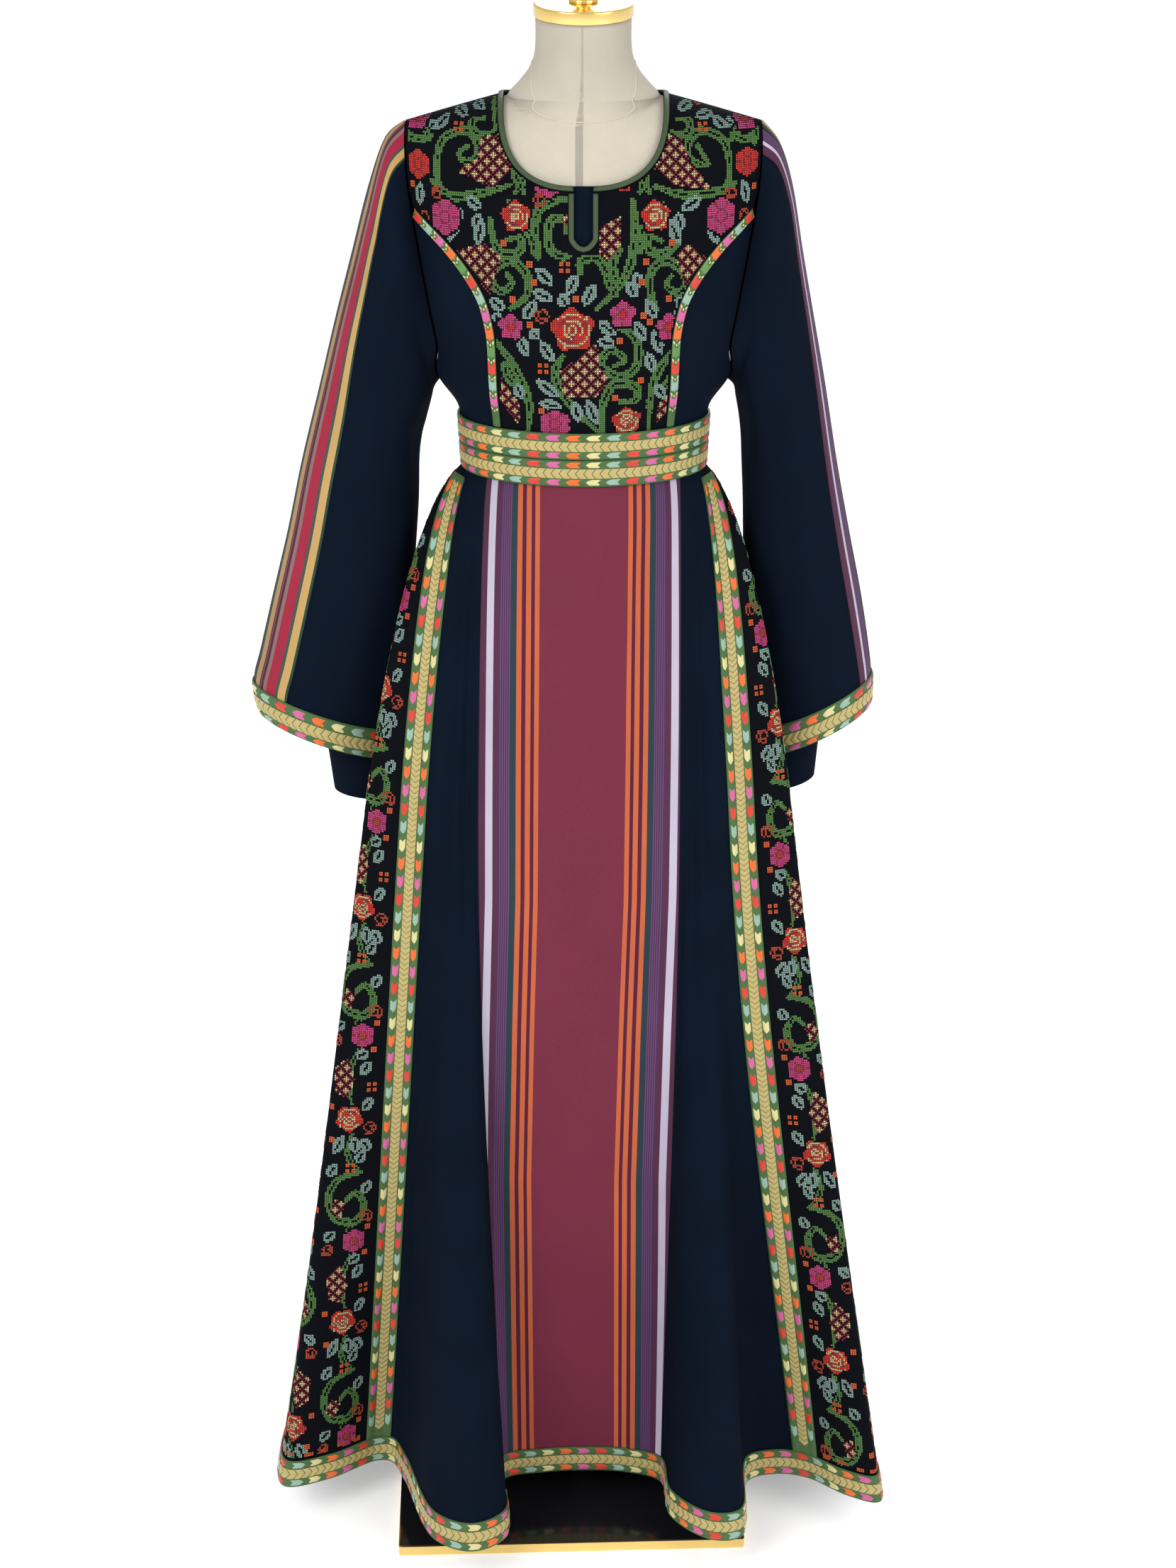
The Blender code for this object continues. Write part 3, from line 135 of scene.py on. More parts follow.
# Sleeve rings: outer x and z, inner x and z, middle y and half depth, in tenths of a mm
SLEEVES = {
    -1: np.array((
        (2015, 15320, 1565, 12760, 30, 600), (2202, 14830, 1600, 12620, 60, 640),
        (2395, 14150, 1660, 12400, 100, 620), (2580, 13500, 1710, 12220, 130, 600),
        (2780, 12750, 1745, 11960, 160, 560), (3000, 11940, 1765, 11500, 200, 530),
        (3180, 11180, 1815, 10900, 240, 510), (3375, 10450, 1880, 10150, 290, 500),
        (3545, 9800, 1965, 9400, 340, 520), (3640, 9430, 2045, 8880, 370, 540),
        (3600, 9080, 2090, 8540, 400, 560),
    )) / 10000,
    1: np.array((
        (1995, 15270, 1570, 12780, 30, 590), (2135, 14850, 1595, 12650, 60, 620),
        (2260, 14180, 1635, 12430, 100, 610), (2385, 13550, 1660, 12220, 130, 590),
        (2535, 12800, 1675, 11960, 160, 550), (2690, 11950, 1700, 11500, 200, 530),
        (2850, 11180, 1720, 10900, 240, 510), (3010, 10450, 1770, 10150, 290, 500),
        (3120, 9850, 1830, 9450, 340, 520), (3165, 9520, 1880, 8900, 370, 540),
        (3170, 9170, 1900, 8560, 400, 560),
    )) / 10000,
}
INNER_SLEEVES = {
    -1: np.array((
        (3343, 10450, 1912, 10150, 290, 471), (3180, 9750, 2020, 9550, 340, 400),
        (2920, 9000, 2120, 8800, 400, 310), (2800, 8120, 2150, 8030, 430, 270),
    )) / 10000,
    1: np.array((
        (2980, 10450, 1800, 10150, 290, 473), (2870, 9750, 1870, 9550, 340, 400),
        (2660, 9050, 1940, 8850, 400, 310), (2580, 8280, 2000, 8120, 430, 270),
    )) / 10000,
}
SLEEVE_AROUND, ARMHOLE_GAP = 24, 0.0014
STRIPE_TURN = {-1: 0.45, 1: -0.05}

PLATE_WIDTH, PLATE_DEPTH, PLATE_FRONT_Y = 0.390, 0.440, -0.252
PLATE_CENTRE_X, PLATE_YAW = -0.022, radians(2.2)
POLE_RADIUS, NECK_TILT = 0.0125, 0.12
CAP_HALF_WIDTH, CAP_HALF_DEPTH, CAP_HEIGHT = 0.0500, 0.0510, 0.0120
KNOB_PROFILE = (
    (0.0150, 0.000), (0.0150, 0.004), (0.0080, 0.008), (0.0075, 0.012),
    (0.0125, 0.018), (0.0140, 0.024), (0.0125, 0.030), (0.0075, 0.034),
)


# Curves and surfaces, on arrays
def hermite(a, b, slope_a, slope_b, f):
    f2, f3 = f * f, f * f * f
    ends = a * (2 * f3 - 3 * f2 + 1) + slope_a * (f3 - 2 * f2 + f)
    return ends + b * (3 * f2 - 2 * f3) + slope_b * (f3 - f2)


def smooth_at(rows, key):
    """Other columns of a table at values of its first column, last axis the columns."""
    rows = np.asarray(rows, float)
    key = np.asarray(key, float)
    last = len(rows) - 1
    k = np.clip(np.searchsorted(rows[:, 0], key) - 1, 0, last - 1)
    low, high = rows[k], rows[k + 1]
    before, after = rows[np.maximum(k - 1, 0)], rows[np.minimum(k + 2, last)]
    span = high[..., :1] - low[..., :1]
    f = np.clip((key[..., None] - low[..., :1]) / span, 0, 1)
    slope_low = (high - before) / (high[..., :1] - before[..., :1]) * span
    slope_high = (after - low) / (after[..., :1] - low[..., :1]) * span
    return hermite(low, high, slope_low, slope_high, f)[..., 1:]


def smooth_row(rows, position):
    """Rows of a table at fractional row positions, on a smooth curve."""
    rows = np.asarray(rows, float)
    last = len(rows) - 1
    position = np.clip(np.asarray(position, float), 0, last)
    k = np.minimum(position.astype(int), last - 1)
    f = (position - k)[..., None]
    a, b = rows[k], rows[k + 1]
    before, after = rows[np.maximum(k - 1, 0)], rows[np.minimum(k + 2, last)]
    return hermite(a, b, (b - before) / 2, (after - a) / 2, f)


def unit(vectors):
    return vectors / np.maximum(np.linalg.norm(vectors, axis=-1, keepdims=True), 1e-12)


def run_along(points, axis=0):
    """Distances along lines of points, from 0 at the first."""
    steps = np.cumsum(np.linalg.norm(np.diff(points, axis=axis), axis=-1), axis=axis)
    before = [(0, 0)] * steps.ndim
    before[axis] = (1, 0)
    return np.pad(steps, before)


def normals_of(surface, u, v, outward):
    step = 0.0005
    along_u = surface(u + step, v) - surface(u - step, v)
    along_v = surface(u, v + step) - surface(u, v - step)
    return unit(np.cross(along_u, along_v)) * outward


def shoulder_z(x):
    return SHOULDER_PEAK_Z - SHOULDER_SLOPE * np.sqrt(x * x + SHOULDER_ROUND ** 2)


def drop_from_turn(turn):
    return SHOULDER_DROP * np.where(turn < pi / 2, 1 - np.cos(turn), 1 + turn - pi / 2)


def turn_from_drop(drop):
    low = np.arccos(1 - np.clip(drop, 0, SHOULDER_DROP) / SHOULDER_DROP)
    return np.where(drop < SHOULDER_DROP, low, pi / 2 + drop / SHOULDER_DROP - 1)


def bodice_point(side, face, angle, turn):
    angle, turn = np.broadcast_arrays(np.asarray(angle, float), np.asarray(turn, float))
    x = np.full(angle.shape, 0.1)
    for _ in range(12):
        z = shoulder_z(x) - drop_from_turn(turn)
        torso = smooth_at(TORSO, z)
        x = torso[..., 0] * np.sin(angle)
    depth = torso[..., 1] if face < 0 else torso[..., 2]
    y = face * depth * np.cos(angle) * np.sin(np.minimum(turn, pi / 2))
    return np.stack([side * x, y, z], axis=-1)


def bodice_coordinates(x, z):
    half_width = smooth_at(TORSO, z)[..., 0]
    return np.arcsin(np.minimum(x / half_width, 1.0)), turn_from_drop(shoulder_z(x) - z)


def side_coordinates(z):
    x = smooth_at(TORSO, z)[..., 0]
    return np.full(np.shape(z), pi / 2), turn_from_drop(shoulder_z(x) - z)


def armhole_z(step):
    tip = smooth_at(TORSO, 1.55)[..., 0] * sin(radians(SHOULDER_TIP_DEG))
    top = shoulder_z(tip)
    return UNDERARM_Z + (top - UNDERARM_Z) * (1 + np.cos(2 * pi * step / SLEEVE_AROUND)) / 2


def armhole_coordinates(z):
    low = 1 - np.minimum(1.0, (z - UNDERARM_Z) / 0.05)
    angle = np.radians(SHOULDER_TIP_DEG + (90 - SHOULDER_TIP_DEG) * low * low)
    x = smooth_at(TORSO, z)[..., 0] * np.sin(angle)
    return angle, turn_from_drop(shoulder_z(x) - z)


def neckline_coordinates(share):
    angle = pi / 2 * np.asarray(share, float)
    x = np.maximum(NECK_POINT_X * np.sin(angle) ** (2 / NECK_POWER), SLIT_HALF)
    top = shoulder_z(NECK_POINT_X)
    z = top - (top - NECK_FRONT_Z) * np.maximum(np.cos(angle), 0) ** (2 / NECK_POWER)
    return bodice_coordinates(x, z)


def back_neckline_coordinates(share):
    angle = pi / 2 * np.asarray(share, float)
    x = NECK_POINT_X * np.sin(angle)
    turn = radians(NECK_BACK_DEG) * np.cos(angle)
    z = shoulder_z(x) - drop_from_turn(turn)
    return np.arcsin(x / smooth_at(TORSO, z)[..., 0]), turn


def joined(t, parts):
    """Coordinates along an edge made of parts: (first row, last row, function of the row)."""
    angle, turn = np.zeros_like(t), np.zeros_like(t)
    for first, last, function in parts:
        inside = (t >= first - 1e-9) & (t <= last + 1e-9)
        if inside.any():
            angle[inside], turn[inside] = function(t[inside])
    return angle, turn


def between(start, end, first):
    """Straight run between two edge coordinates, over one row."""

    def run(t):
        f = t - first
        return start[0] + (end[0] - start[0]) * f, start[1] + (end[1] - start[1]) * f
    return run


def stepped(values, first):
    def value(t):
        return np.interp(t, np.arange(len(values)) + first, values)
    return value


def yoke_edge(t):
    x, z = smooth_row(YOKE_EDGE, t).T
    return bodice_coordinates(x, z)


def yoke_inner(t):
    """Centre front, slit and neckline of the yoke, by row."""
    centre_z = stepped(YOKE_CENTRE_Z, 0)
    shares = stepped(NECK_SHARES, 10)
    slit_top = bodice_coordinates(np.array(SLIT_HALF), np.array(YOKE_CENTRE_Z[9]))
    return joined(t, (
        (0, 7, lambda r: bodice_coordinates(np.zeros_like(r), centre_z(r))),
        (7, 9, lambda r: bodice_coordinates(SLIT_HALF * np.minimum(r - 7, 1), centre_z(r))),
        (9, 10, between(slit_top, neckline_coordinates(0.0), 9)),
        (10, 18, lambda r: neckline_coordinates(shares(r))),
    ))


def yoke_outer(t):
    steps = stepped(YOKE_ARMHOLE_STEPS, 11)
    corner = yoke_edge(np.array([10.0]))
    return joined(t, (
        (0, 10, yoke_edge),
        (10, 11, between((corner[0][0], corner[1][0]), armhole_coordinates(armhole_z(4.0)), 10)),
        (11, 18, lambda r: armhole_coordinates(armhole_z(steps(r)))),
    ))


def side_outer(t, steps):
    low = stepped((WAIST_Z, 1.255), 0)
    steps_at = stepped(steps, 2)
    return joined(t, (
        (0, 1, lambda r: side_coordinates(low(r))),
        (1, 2, between(side_coordinates(np.array(1.255)), armhole_coordinates(armhole_z(12.0)), 1)),
        (2, len(steps) + 1, lambda r: armhole_coordinates(armhole_z(steps_at(r)))),
    ))


def back_inner(t):
    centre_z = stepped(BACK_CENTRE_Z, 0)
    shares = stepped(NECK_BACK_SHARES, 11)
    centre_top = bodice_coordinates(np.array(0.0), np.array(BACK_CENTRE_Z[-1]))
    return joined(t, (
        (0, 10, lambda r: bodice_coordinates(np.zeros_like(r), centre_z(r))),
        (10, 11, between(centre_top, back_neckline_coordinates(0.0), 10)),
        (11, 15, lambda r: back_neckline_coordinates(shares(r))),
    ))


# Skirt and sleeve surfaces

def fold_point(side, index, share):
    table = FOLDS[side]
    last = len(table) - 1
    flip = (index < 0) | (index > last)
    inside = np.where(index < 0, -index, np.where(index > last, 2 * last - index, index))
    mid, hem = table[inside][..., :2], table[inside][..., 2:]
    angle = np.radians(np.array(FOLD_DEG)[inside])
    z = BELT_BOTTOM_Z - SKIRT_DROP * share
    torso = smooth_at(TORSO, np.maximum(z, BELT_BOTTOM_Z))
    depth = np.where(angle < pi / 2, torso[..., 1], torso[..., 2])
    top = np.stack([torso[..., 0] * np.sin(angle), -depth * np.cos(angle)], axis=-1)
    low, high = FLARE_SOFTNESS ** FLARE_POWER, (FOLD_START + FLARE_SOFTNESS) ** FLARE_POWER
    soft = np.clip(share, 0, FOLD_START)
    grown = (((soft + FLARE_SOFTNESS) ** FLARE_POWER - low) / (high - low))[..., None]
    upper = top + (mid - top) * grown
    length = 1 - FOLD_START
    f = np.clip((share - FOLD_START) / length, 0, 1.2)[..., None]
    lower = hermite(mid, hem, (mid - top) * (FLARE_POWER / FOLD_START) * length, (hem - mid) * 1.05, f)
    flat = np.where((share < FOLD_START)[..., None], upper, lower)
    x = flat[..., 0] * np.where(flip, -1, 1) * side
    return np.stack([x, flat[..., 1], z], axis=-1)


def skirt_point(side, place, share):
    place, share = np.broadcast_arrays(np.asarray(place, float), np.asarray(share, float))
    k = np.floor(np.clip(place, -1, LAST_FOLD + 0.999)).astype(int)
    k = np.where((place >= 0) & (place <= LAST_FOLD), np.minimum(k, LAST_FOLD - 1), k)
    before, a, b, after = [fold_point(side, k + n, share) for n in (-1, 0, 1, 2)]

    def root(p, q):
        return np.sqrt(np.maximum(np.linalg.norm(q - p, axis=-1, keepdims=True), 1e-6))

    first, middle, last = root(before, a), root(a, b), root(b, after)
    slope_a = ((a - before) / first - (b - before) / (first + middle) + (b - a) / middle) * middle
    slope_b = ((b - a) / middle - (after - a) / (middle + last) + (after - b) / last) * middle
    return hermite(a, b, slope_a, slope_b, (place - k)[..., None])


def armhole_point(side, turn_angle):
    step = turn_angle / (2 * pi) * SLEEVE_AROUND
    angle, turn = armhole_coordinates(armhole_z(step))
    front = bodice_point(side, -1, angle, turn)
    back = bodice_point(side, 1, angle, turn)
    point = np.where((np.sin(turn_angle) >= 0)[..., None], front, back)
    point[..., 0] += side * ARMHOLE_GAP
    return point


def ring_point(side, row, turn_angle):
    outer_x, outer_z, inner_x, inner_z, centre_y, half_depth = np.moveaxis(row, -1, 0)
    c, s = np.cos(turn_angle), np.sin(turn_angle)
    x = (outer_x + inner_x) / 2 + (outer_x - inner_x) / 2 * c
    z = (outer_z + inner_z) / 2 + (outer_z - inner_z) / 2 * c
    return np.stack([side * x, centre_y - half_depth * s, z], axis=-1)


def tube_point(side, table, armhole, turn_angle, position):
    """Point on a smooth tube. With armhole, ring 0 is the armhole and the table follows."""
    turn_angle, position = np.broadcast_arrays(np.asarray(turn_angle, float), np.asarray(position, float))
    table = np.asarray(table, float)
    shift = 1 if armhole else 0
    last = len(table) - 1 + shift
    position = np.clip(position, 0, last)
    k = np.minimum(position.astype(int), last - 1)

    def ring(index):
        index = np.clip(index, 0, last)
        point = ring_point(side, table[np.maximum(index - shift, 0)], turn_angle)
        if armhole:
            point = np.where((index == 0)[..., None], armhole_point(side, turn_angle), point)
        return point

    before, a, b, after = ring(k - 1), ring(k), ring(k + 1), ring(k + 2)
    return hermite(a, b, (b - before) / 2, (after - a) / 2, (position - k)[..., None])


def sleeve_point(side, turn_angle, position):
    return tube_point(side, SLEEVES[side], True, turn_angle, position)


# Creases: soft troughs and ridges. Each has its side, the surface's coordinates
# at its start and at its end, its half width in them, and its depth in mm
SKIRT_CREASES = (
    (-1, 0.9, 0, 0.7, 0.34, 0.28, -1.8), (1, 0.8, 0, 0.1, 0.16, 0.16, -2.4),
    (1, 1, 0.02, 0.5, 0.26, 0.14, 1.8), (-1, 1.6, 0.02, 1.5, 0.6, 0.25, 1.8),
    (1, 1.5, 0.05, 1.4, 0.75, 0.25, -2), (-1, 2.7, 0.02, 2.5, 0.7, 0.28, 2.6),
    (1, 2.8, 0.02, 2.7, 0.62, 0.26, 2.6), (-1, 3.7, 0.02, 3.9, 0.55, 0.26, -2.8),
    (1, 3.6, 0.04, 3.8, 0.66, 0.28, -2.6), (-1, 4.6, 0.02, 5.2, 0.5, 0.4, -2.6),
    (1, 4.4, 0.02, 5, 0.55, 0.4, -2.8), (-1, 6.2, 0.3, 6.1, 0.95, 0.4, 2),
    (1, 6.3, 0.25, 6.2, 0.9, 0.4, 1.8), (-1, 9.4, 0.04, 9.6, 0.6, 0.45, -2.5),
    (1, 9.3, 0.04, 9.5, 0.65, 0.45, -2.5), (-1, 11.5, 0.02, 11.6, 0.7, 0.4, 3),
    (1, 11.6, 0.03, 11.4, 0.6, 0.4, 3), (-1, 14.4, 0.02, 14.7, 0.8, 0.45, -3.2),
    (1, 14.5, 0.02, 14.6, 0.75, 0.45, -3), (-1, 16.5, 0.02, 16.7, 0.55, 0.4, 2.4),
    (1, 16.4, 0.02, 16.6, 0.6, 0.4, 2.6), (-1, 18.6, 0.03, 18.4, 0.7, 0.4, -2.4),
    (1, 18.4, 0.03, 18.6, 0.65, 0.4, -2.2),
)
SLEEVE_CREASES = (
    (-1, 1.75, 0.3, 1.55, 4.6, 0.22, -2.4), (-1, 2.35, 0.8, 2.15, 5.5, 0.2, 2),
    (-1, 2.9, 1.2, 2.7, 6.5, 0.22, -2.2), (-1, 1.3, 5, 1.6, 9.5, 0.24, 1.8),
    (-1, 2.2, 6.2, 2.3, 10, 0.22, -2.2), (-1, 4.1, 0.6, 4.4, 5.5, 0.24, -2.2),
    (-1, 4.9, 1.5, 4.7, 8, 0.26, 2.2), (-1, 5.6, 3, 5.5, 9, 0.24, -1.8),
    (1, 1.7, 0.3, 1.5, 4.8, 0.22, -2.2), (1, 2.3, 0.9, 2.1, 6, 0.2, 2.2),
    (1, 2.85, 1.2, 2.65, 6, 0.22, -2), (1, 1.4, 5.2, 1.65, 9.6, 0.24, 1.8),
    (1, 2.25, 6, 2.35, 10, 0.22, -2), (1, 4.05, 0.6, 4.35, 5.2, 0.24, -2.2),
    (1, 4.85, 1.4, 4.75, 8.2, 0.26, 2), (1, 5.55, 3.2, 5.45, 9.2, 0.24, -1.8),
)
BODICE_CREASES = (
    (-1, 1.15, 2.95, 1.3, 3.95, 0.05, -1.3), (-1, 1.32, 2.75, 1.4, 3.95, 0.05, 1.2),
    (-1, 0.98, 3.45, 0.95, 4.02, 0.05, 1), (-1, 1.05, 2.1, 1.35, 2.9, 0.08, -1.5),
    (1, 1.13, 2.9, 1.28, 3.95, 0.05, -1.3), (1, 1.3, 2.8, 1.42, 3.95, 0.05, 1.1),
    (1, 0.97, 3.4, 0.93, 4.02, 0.05, 1), (1, 1.05, 2.05, 1.33, 2.95, 0.08, -1.5),
)
BACK_CREASES = (
    (-1, 0.2, 2.6, 0.28, 4, 0.07, -1.5), (-1, 0.62, 2.3, 0.7, 4, 0.08, 1.4),
    (-1, 1.15, 1.9, 1.32, 3, 0.1, -1.8), (1, 0.24, 2.5, 0.34, 4, 0.07, 1.3),
    (1, 0.66, 2.2, 0.74, 4, 0.08, -1.5), (1, 1.12, 1.95, 1.3, 3.05, 0.1, -1.8),
)


def crease_height(creases, side, u, v):
    height = np.zeros(np.broadcast(u, v).shape)
    for which, u0, v0, u1, v1, half_width, depth in creases:
        if which != side:
            continue
        f = np.clip((v - v0) / (v1 - v0), 0, 1)
        across = (u - (u0 + (u1 - u0) * f)) / half_width
        height += depth / 1000 * np.exp(-across * across) * np.sin(pi * f) ** 1.2
    return height


def creased(surface, creases, side, outward):
    """The surface moved out or in along its normals by the creases."""

    def moved(u, v):
        height = crease_height(creases, side, u, v)
        return surface(u, v) + normals_of(surface, u, v, outward) * height[..., None]
    return moved


def bodice_surface(side, face):
    creases = BODICE_CREASES if face < 0 else BACK_CREASES
    return creased(partial(bodice_point, side, face), creases, side, side * face)


def skirt_surface(side):
    return creased(partial(skirt_point, side), SKIRT_CREASES, side, -side)


def sleeve_surface(side):
    return creased(partial(sleeve_point, side), SLEEVE_CREASES, side, side)


def bodice_normals(side, face, angle, turn):
    return normals_of(partial(bodice_point, side, face), angle, turn, side * face)


def skirt_normals(side, place, share):
    return normals_of(partial(skirt_point, side), place, share, -side)


# Cloth as a grid of points

class Cloth:
    """Grid of points on a sheet of cloth with its outward normals and flat distances."""

    def __init__(self, points, outward):
        self.points = points
        column_step, row_step = np.gradient(points, axis=1), np.gradient(points, axis=0)
        self.normals = unit(np.cross(column_step, row_step)) * outward
        self.across, self.along = run_along(points, 1), run_along(points, 0)
        self.width, self.length = float(self.across[:, -1].max()), float(self.along[-1].max())
        cell = np.linalg.norm(np.cross(column_step, row_step), axis=-1)
        self.area = float(((cell[1:, 1:] + cell[:-1, :-1] + cell[1:, :-1] + cell[:-1, 1:]) / 4).sum())


def quads_of(index):
    """Four-sided faces of a grid of point numbers."""
    corners = [index[:-1, :-1], index[:-1, 1:], index[1:, 1:], index[1:, :-1]]
    return np.stack(corners, axis=-1).reshape(-1, 4)


def build_mesh(name, points, faces, finish, uv=None, colours=None, smooth=True):
    """New object from arrays. uv is one pair and colours one colour for each point."""
    mesh = bpy.data.meshes.new(name)
    faces = np.asarray(faces)
    mesh.vertices.add(len(points))
    mesh.vertices.foreach_set("co", np.asarray(points, np.float32).ravel())
    corners = faces.shape[1]
    mesh.loops.add(faces.size)
    mesh.loops.foreach_set("vertex_index", faces.ravel().astype(np.int32))
    mesh.polygons.add(len(faces))
    mesh.polygons.foreach_set("loop_start", np.arange(0, faces.size, corners, dtype=np.int32))
    mesh.update(calc_edges=True)
    if uv is not None:
        layer = mesh.uv_layers.new(name="cloth")
        layer.data.foreach_set("uv", np.asarray(uv, np.float32)[faces.ravel()].ravel())
    if colours is not None:
        thread = mesh.color_attributes.new("thread", "FLOAT_COLOR", "POINT")
        rgba = np.ones((len(points), 4), np.float32)
        rgba[:, :3] = colours
        thread.data.foreach_set("color", rgba.ravel())
    mesh.validate()
    mesh.materials.append(finish)
    if smooth:
        mesh.shade_smooth()
    thing = bpy.data.objects.new(name, mesh)
    bpy.context.collection.objects.link(thing)
    return thing


def shell(name, cloths, finish, wall=WALL, lift=0.0, round_about=False):
    """Closed thin wall from one or two grids of cloth. lift may vary over the grid."""
    lift = np.asarray(lift)[..., None]
    points, faces, uvs, middles = [], [], [], []
    base = 0
    halves = len(cloths) == 2
    for cloth in cloths:
        if halves:
            # The halves meet on the dress's middle, so the rows that lie on it face straight ahead
            on_middle = np.abs(cloth.points[:, 0, 0]) < 2e-5
            cloth.points[on_middle, 0, 0] = 0.0
            cloth.normals[on_middle, 0, 0] = 0.0
            cloth.normals[on_middle, 0] = unit(cloth.normals[on_middle, 0])
        flat = (cloth.points + cloth.normals * lift).reshape(-1, 3)
        inner = cloth.points + cloth.normals * (np.min(lift) - wall)
        count = len(flat)
        index = np.arange(count).reshape(cloth.points.shape[:2]) + base
        if round_about:
            index = np.concatenate([index, index[:, :1]], axis=1)
        quads = quads_of(index)
        sample = quads[len(quads) // 2] - base
        a, b, c = flat[sample[:3]]
        facing = 1 if np.dot(np.cross(b - a, c - b), cloth.normals.reshape(-1, 3)[sample[0]]) >= 0 else -1
        quads = quads[:, ::facing]
        faces += [quads, quads[:, ::-1] + count]
        rims = [(index[0], 1), (index[-1], -1)]
        if not round_about:
            rims += [(index[:, 0], -1), (index[:, -1], 1)]
        for number, (line, sign) in enumerate(rims):
            near, far = (line[:-1], line[1:]) if sign * facing > 0 else (line[1:], line[:-1])
            if halves and number == 2:
                wanted = ~(on_middle[:-1] & on_middle[1:])
                near, far = near[wanted], far[wanted]
            faces.append(np.stack([far, near, near + count, far + count], axis=-1))
        if halves:
            middles.append(np.concatenate([index[on_middle, 0], index[on_middle, 0] + count]))
        points += [flat, inner.reshape(-1, 3)]
        uvs += [np.stack([cloth.across, cloth.along], axis=-1).reshape(-1, 2)] * 2
        base += count * 2
    points, faces, uvs = np.concatenate(points), np.concatenate(faces), np.concatenate(uvs)
    if halves:
        first, second = middles
        points[first] = (points[first] + points[second]) / 2
        twin = np.arange(len(points))
        twin[second] = first
        kept = np.setdiff1d(np.arange(len(points)), second)
        place = np.zeros(len(points), int)
        place[kept] = np.arange(len(kept))
        points, faces, uvs = points[kept], place[twin[faces]], uvs[kept]
    return build_mesh(name, points, faces, finish, uvs)


def patch(side, face, inner, outer, rows, per_row, columns):
    """Bodice cloth between two edges that are functions of the row."""
    t = np.linspace(0, rows, rows * per_row + 1)
    angle_in, turn_in = inner(t)
    angle_out, turn_out = outer(t)
    share = np.linspace(0, 1, columns)
    angle = angle_in[:, None] + (angle_out - angle_in)[:, None] * share
    turn = turn_in[:, None] + (turn_out - turn_in)[:, None] * share
    points = bodice_surface(side, face)(angle, turn)
    # The lowest rows run level along the waist seam
    waist = points[0, :, 2] - WAIST_Z
    fade = np.clip(1 - t / 1.2, 0, 1)[:, None]
    points[..., 2] -= waist[None, :] * fade
    return Cloth(points, -side * face)


class Band:
    """Narrow cloth as a strip: points[along, across] with their outward normals."""

    def __init__(self, points, normals, closed=False):
        self.points, self.normals, self.closed = points, normals, closed
        self.run = run_along(points[:, points.shape[1] // 2])
        self.length = float(self.run[-1])
        self.width = float(run_along(points, 1)[:, -1].max())
        self.area = self.length * self.width
        share = np.linspace(0, 1, points.shape[1])
        self.across = np.repeat((share * self.width)[None], len(points), axis=0)
        self.along = np.repeat(self.run[:, None], points.shape[1], axis=1)

    def locate(self, across, along, height):
        """Points at distances across and along the band, at a height over it."""
        if self.closed:
            along = along % self.length
        row = np.interp(along, self.run, np.arange(len(self.run)))
        column = np.clip(across / self.width, 0, 1) * (self.points.shape[1] - 1)
        i = np.minimum(row.astype(int), len(self.run) - 2)
        j = np.minimum(column.astype(int), self.points.shape[1] - 2)
        f, g = (row - i)[..., None], (column - j)[..., None]

        def blend(grid):
            near = grid[i, j] * (1 - g) + grid[i, j + 1] * g
            return near * (1 - f) + (grid[i + 1, j] * (1 - g) + grid[i + 1, j + 1] * g) * f

        return blend(self.points) + unit(blend(self.normals)) * height[..., None]

    def base(self, name, finish, wall, lift, profile):
        """Shell of the band with a raised profile across it."""
        raised = lift + profile(np.linspace(0, 1, self.points.shape[1]))
        if not self.closed:
            return shell(name, [self], finish, wall, np.repeat(raised[None], len(self.points), axis=0))
        turned = Band(self.points[:-1].transpose(1, 0, 2), self.normals[:-1].transpose(1, 0, 2))
        turned.across, turned.along = self.across[:-1].T, self.along[:-1].T
        lifts = np.repeat(raised[:, None], len(self.points) - 1, axis=1)
        return shell(name, [turned], finish, wall, lifts, round_about=True)


RIDGE_HEIGHT = 0.0007


def three_ridges(share):
    return RIDGE_HEIGHT * np.abs(np.sin(3 * pi * share)) ** 0.6


def one_ridge(share):
    return RIDGE_HEIGHT * np.sin(pi * share) ** 0.7


def net_faces(count, rows, columns):
    """Faces of many equal grids of points, stored one after another."""
    quads = quads_of(np.arange(rows * columns).reshape(rows, columns))
    return (quads[None] + (np.arange(count) * rows * columns)[:, None, None]).reshape(-1, 4)


DASH_LENGTH, DASH_PITCH, DASH_TIP, DASH_HEIGHT = 0.0124, 0.0205, 0.0038, 0.0006
CHEVRON_HEIGHT = 0.0006
DASH_DYES = ("orange_thread", "pink", "red", "sage", "cream")


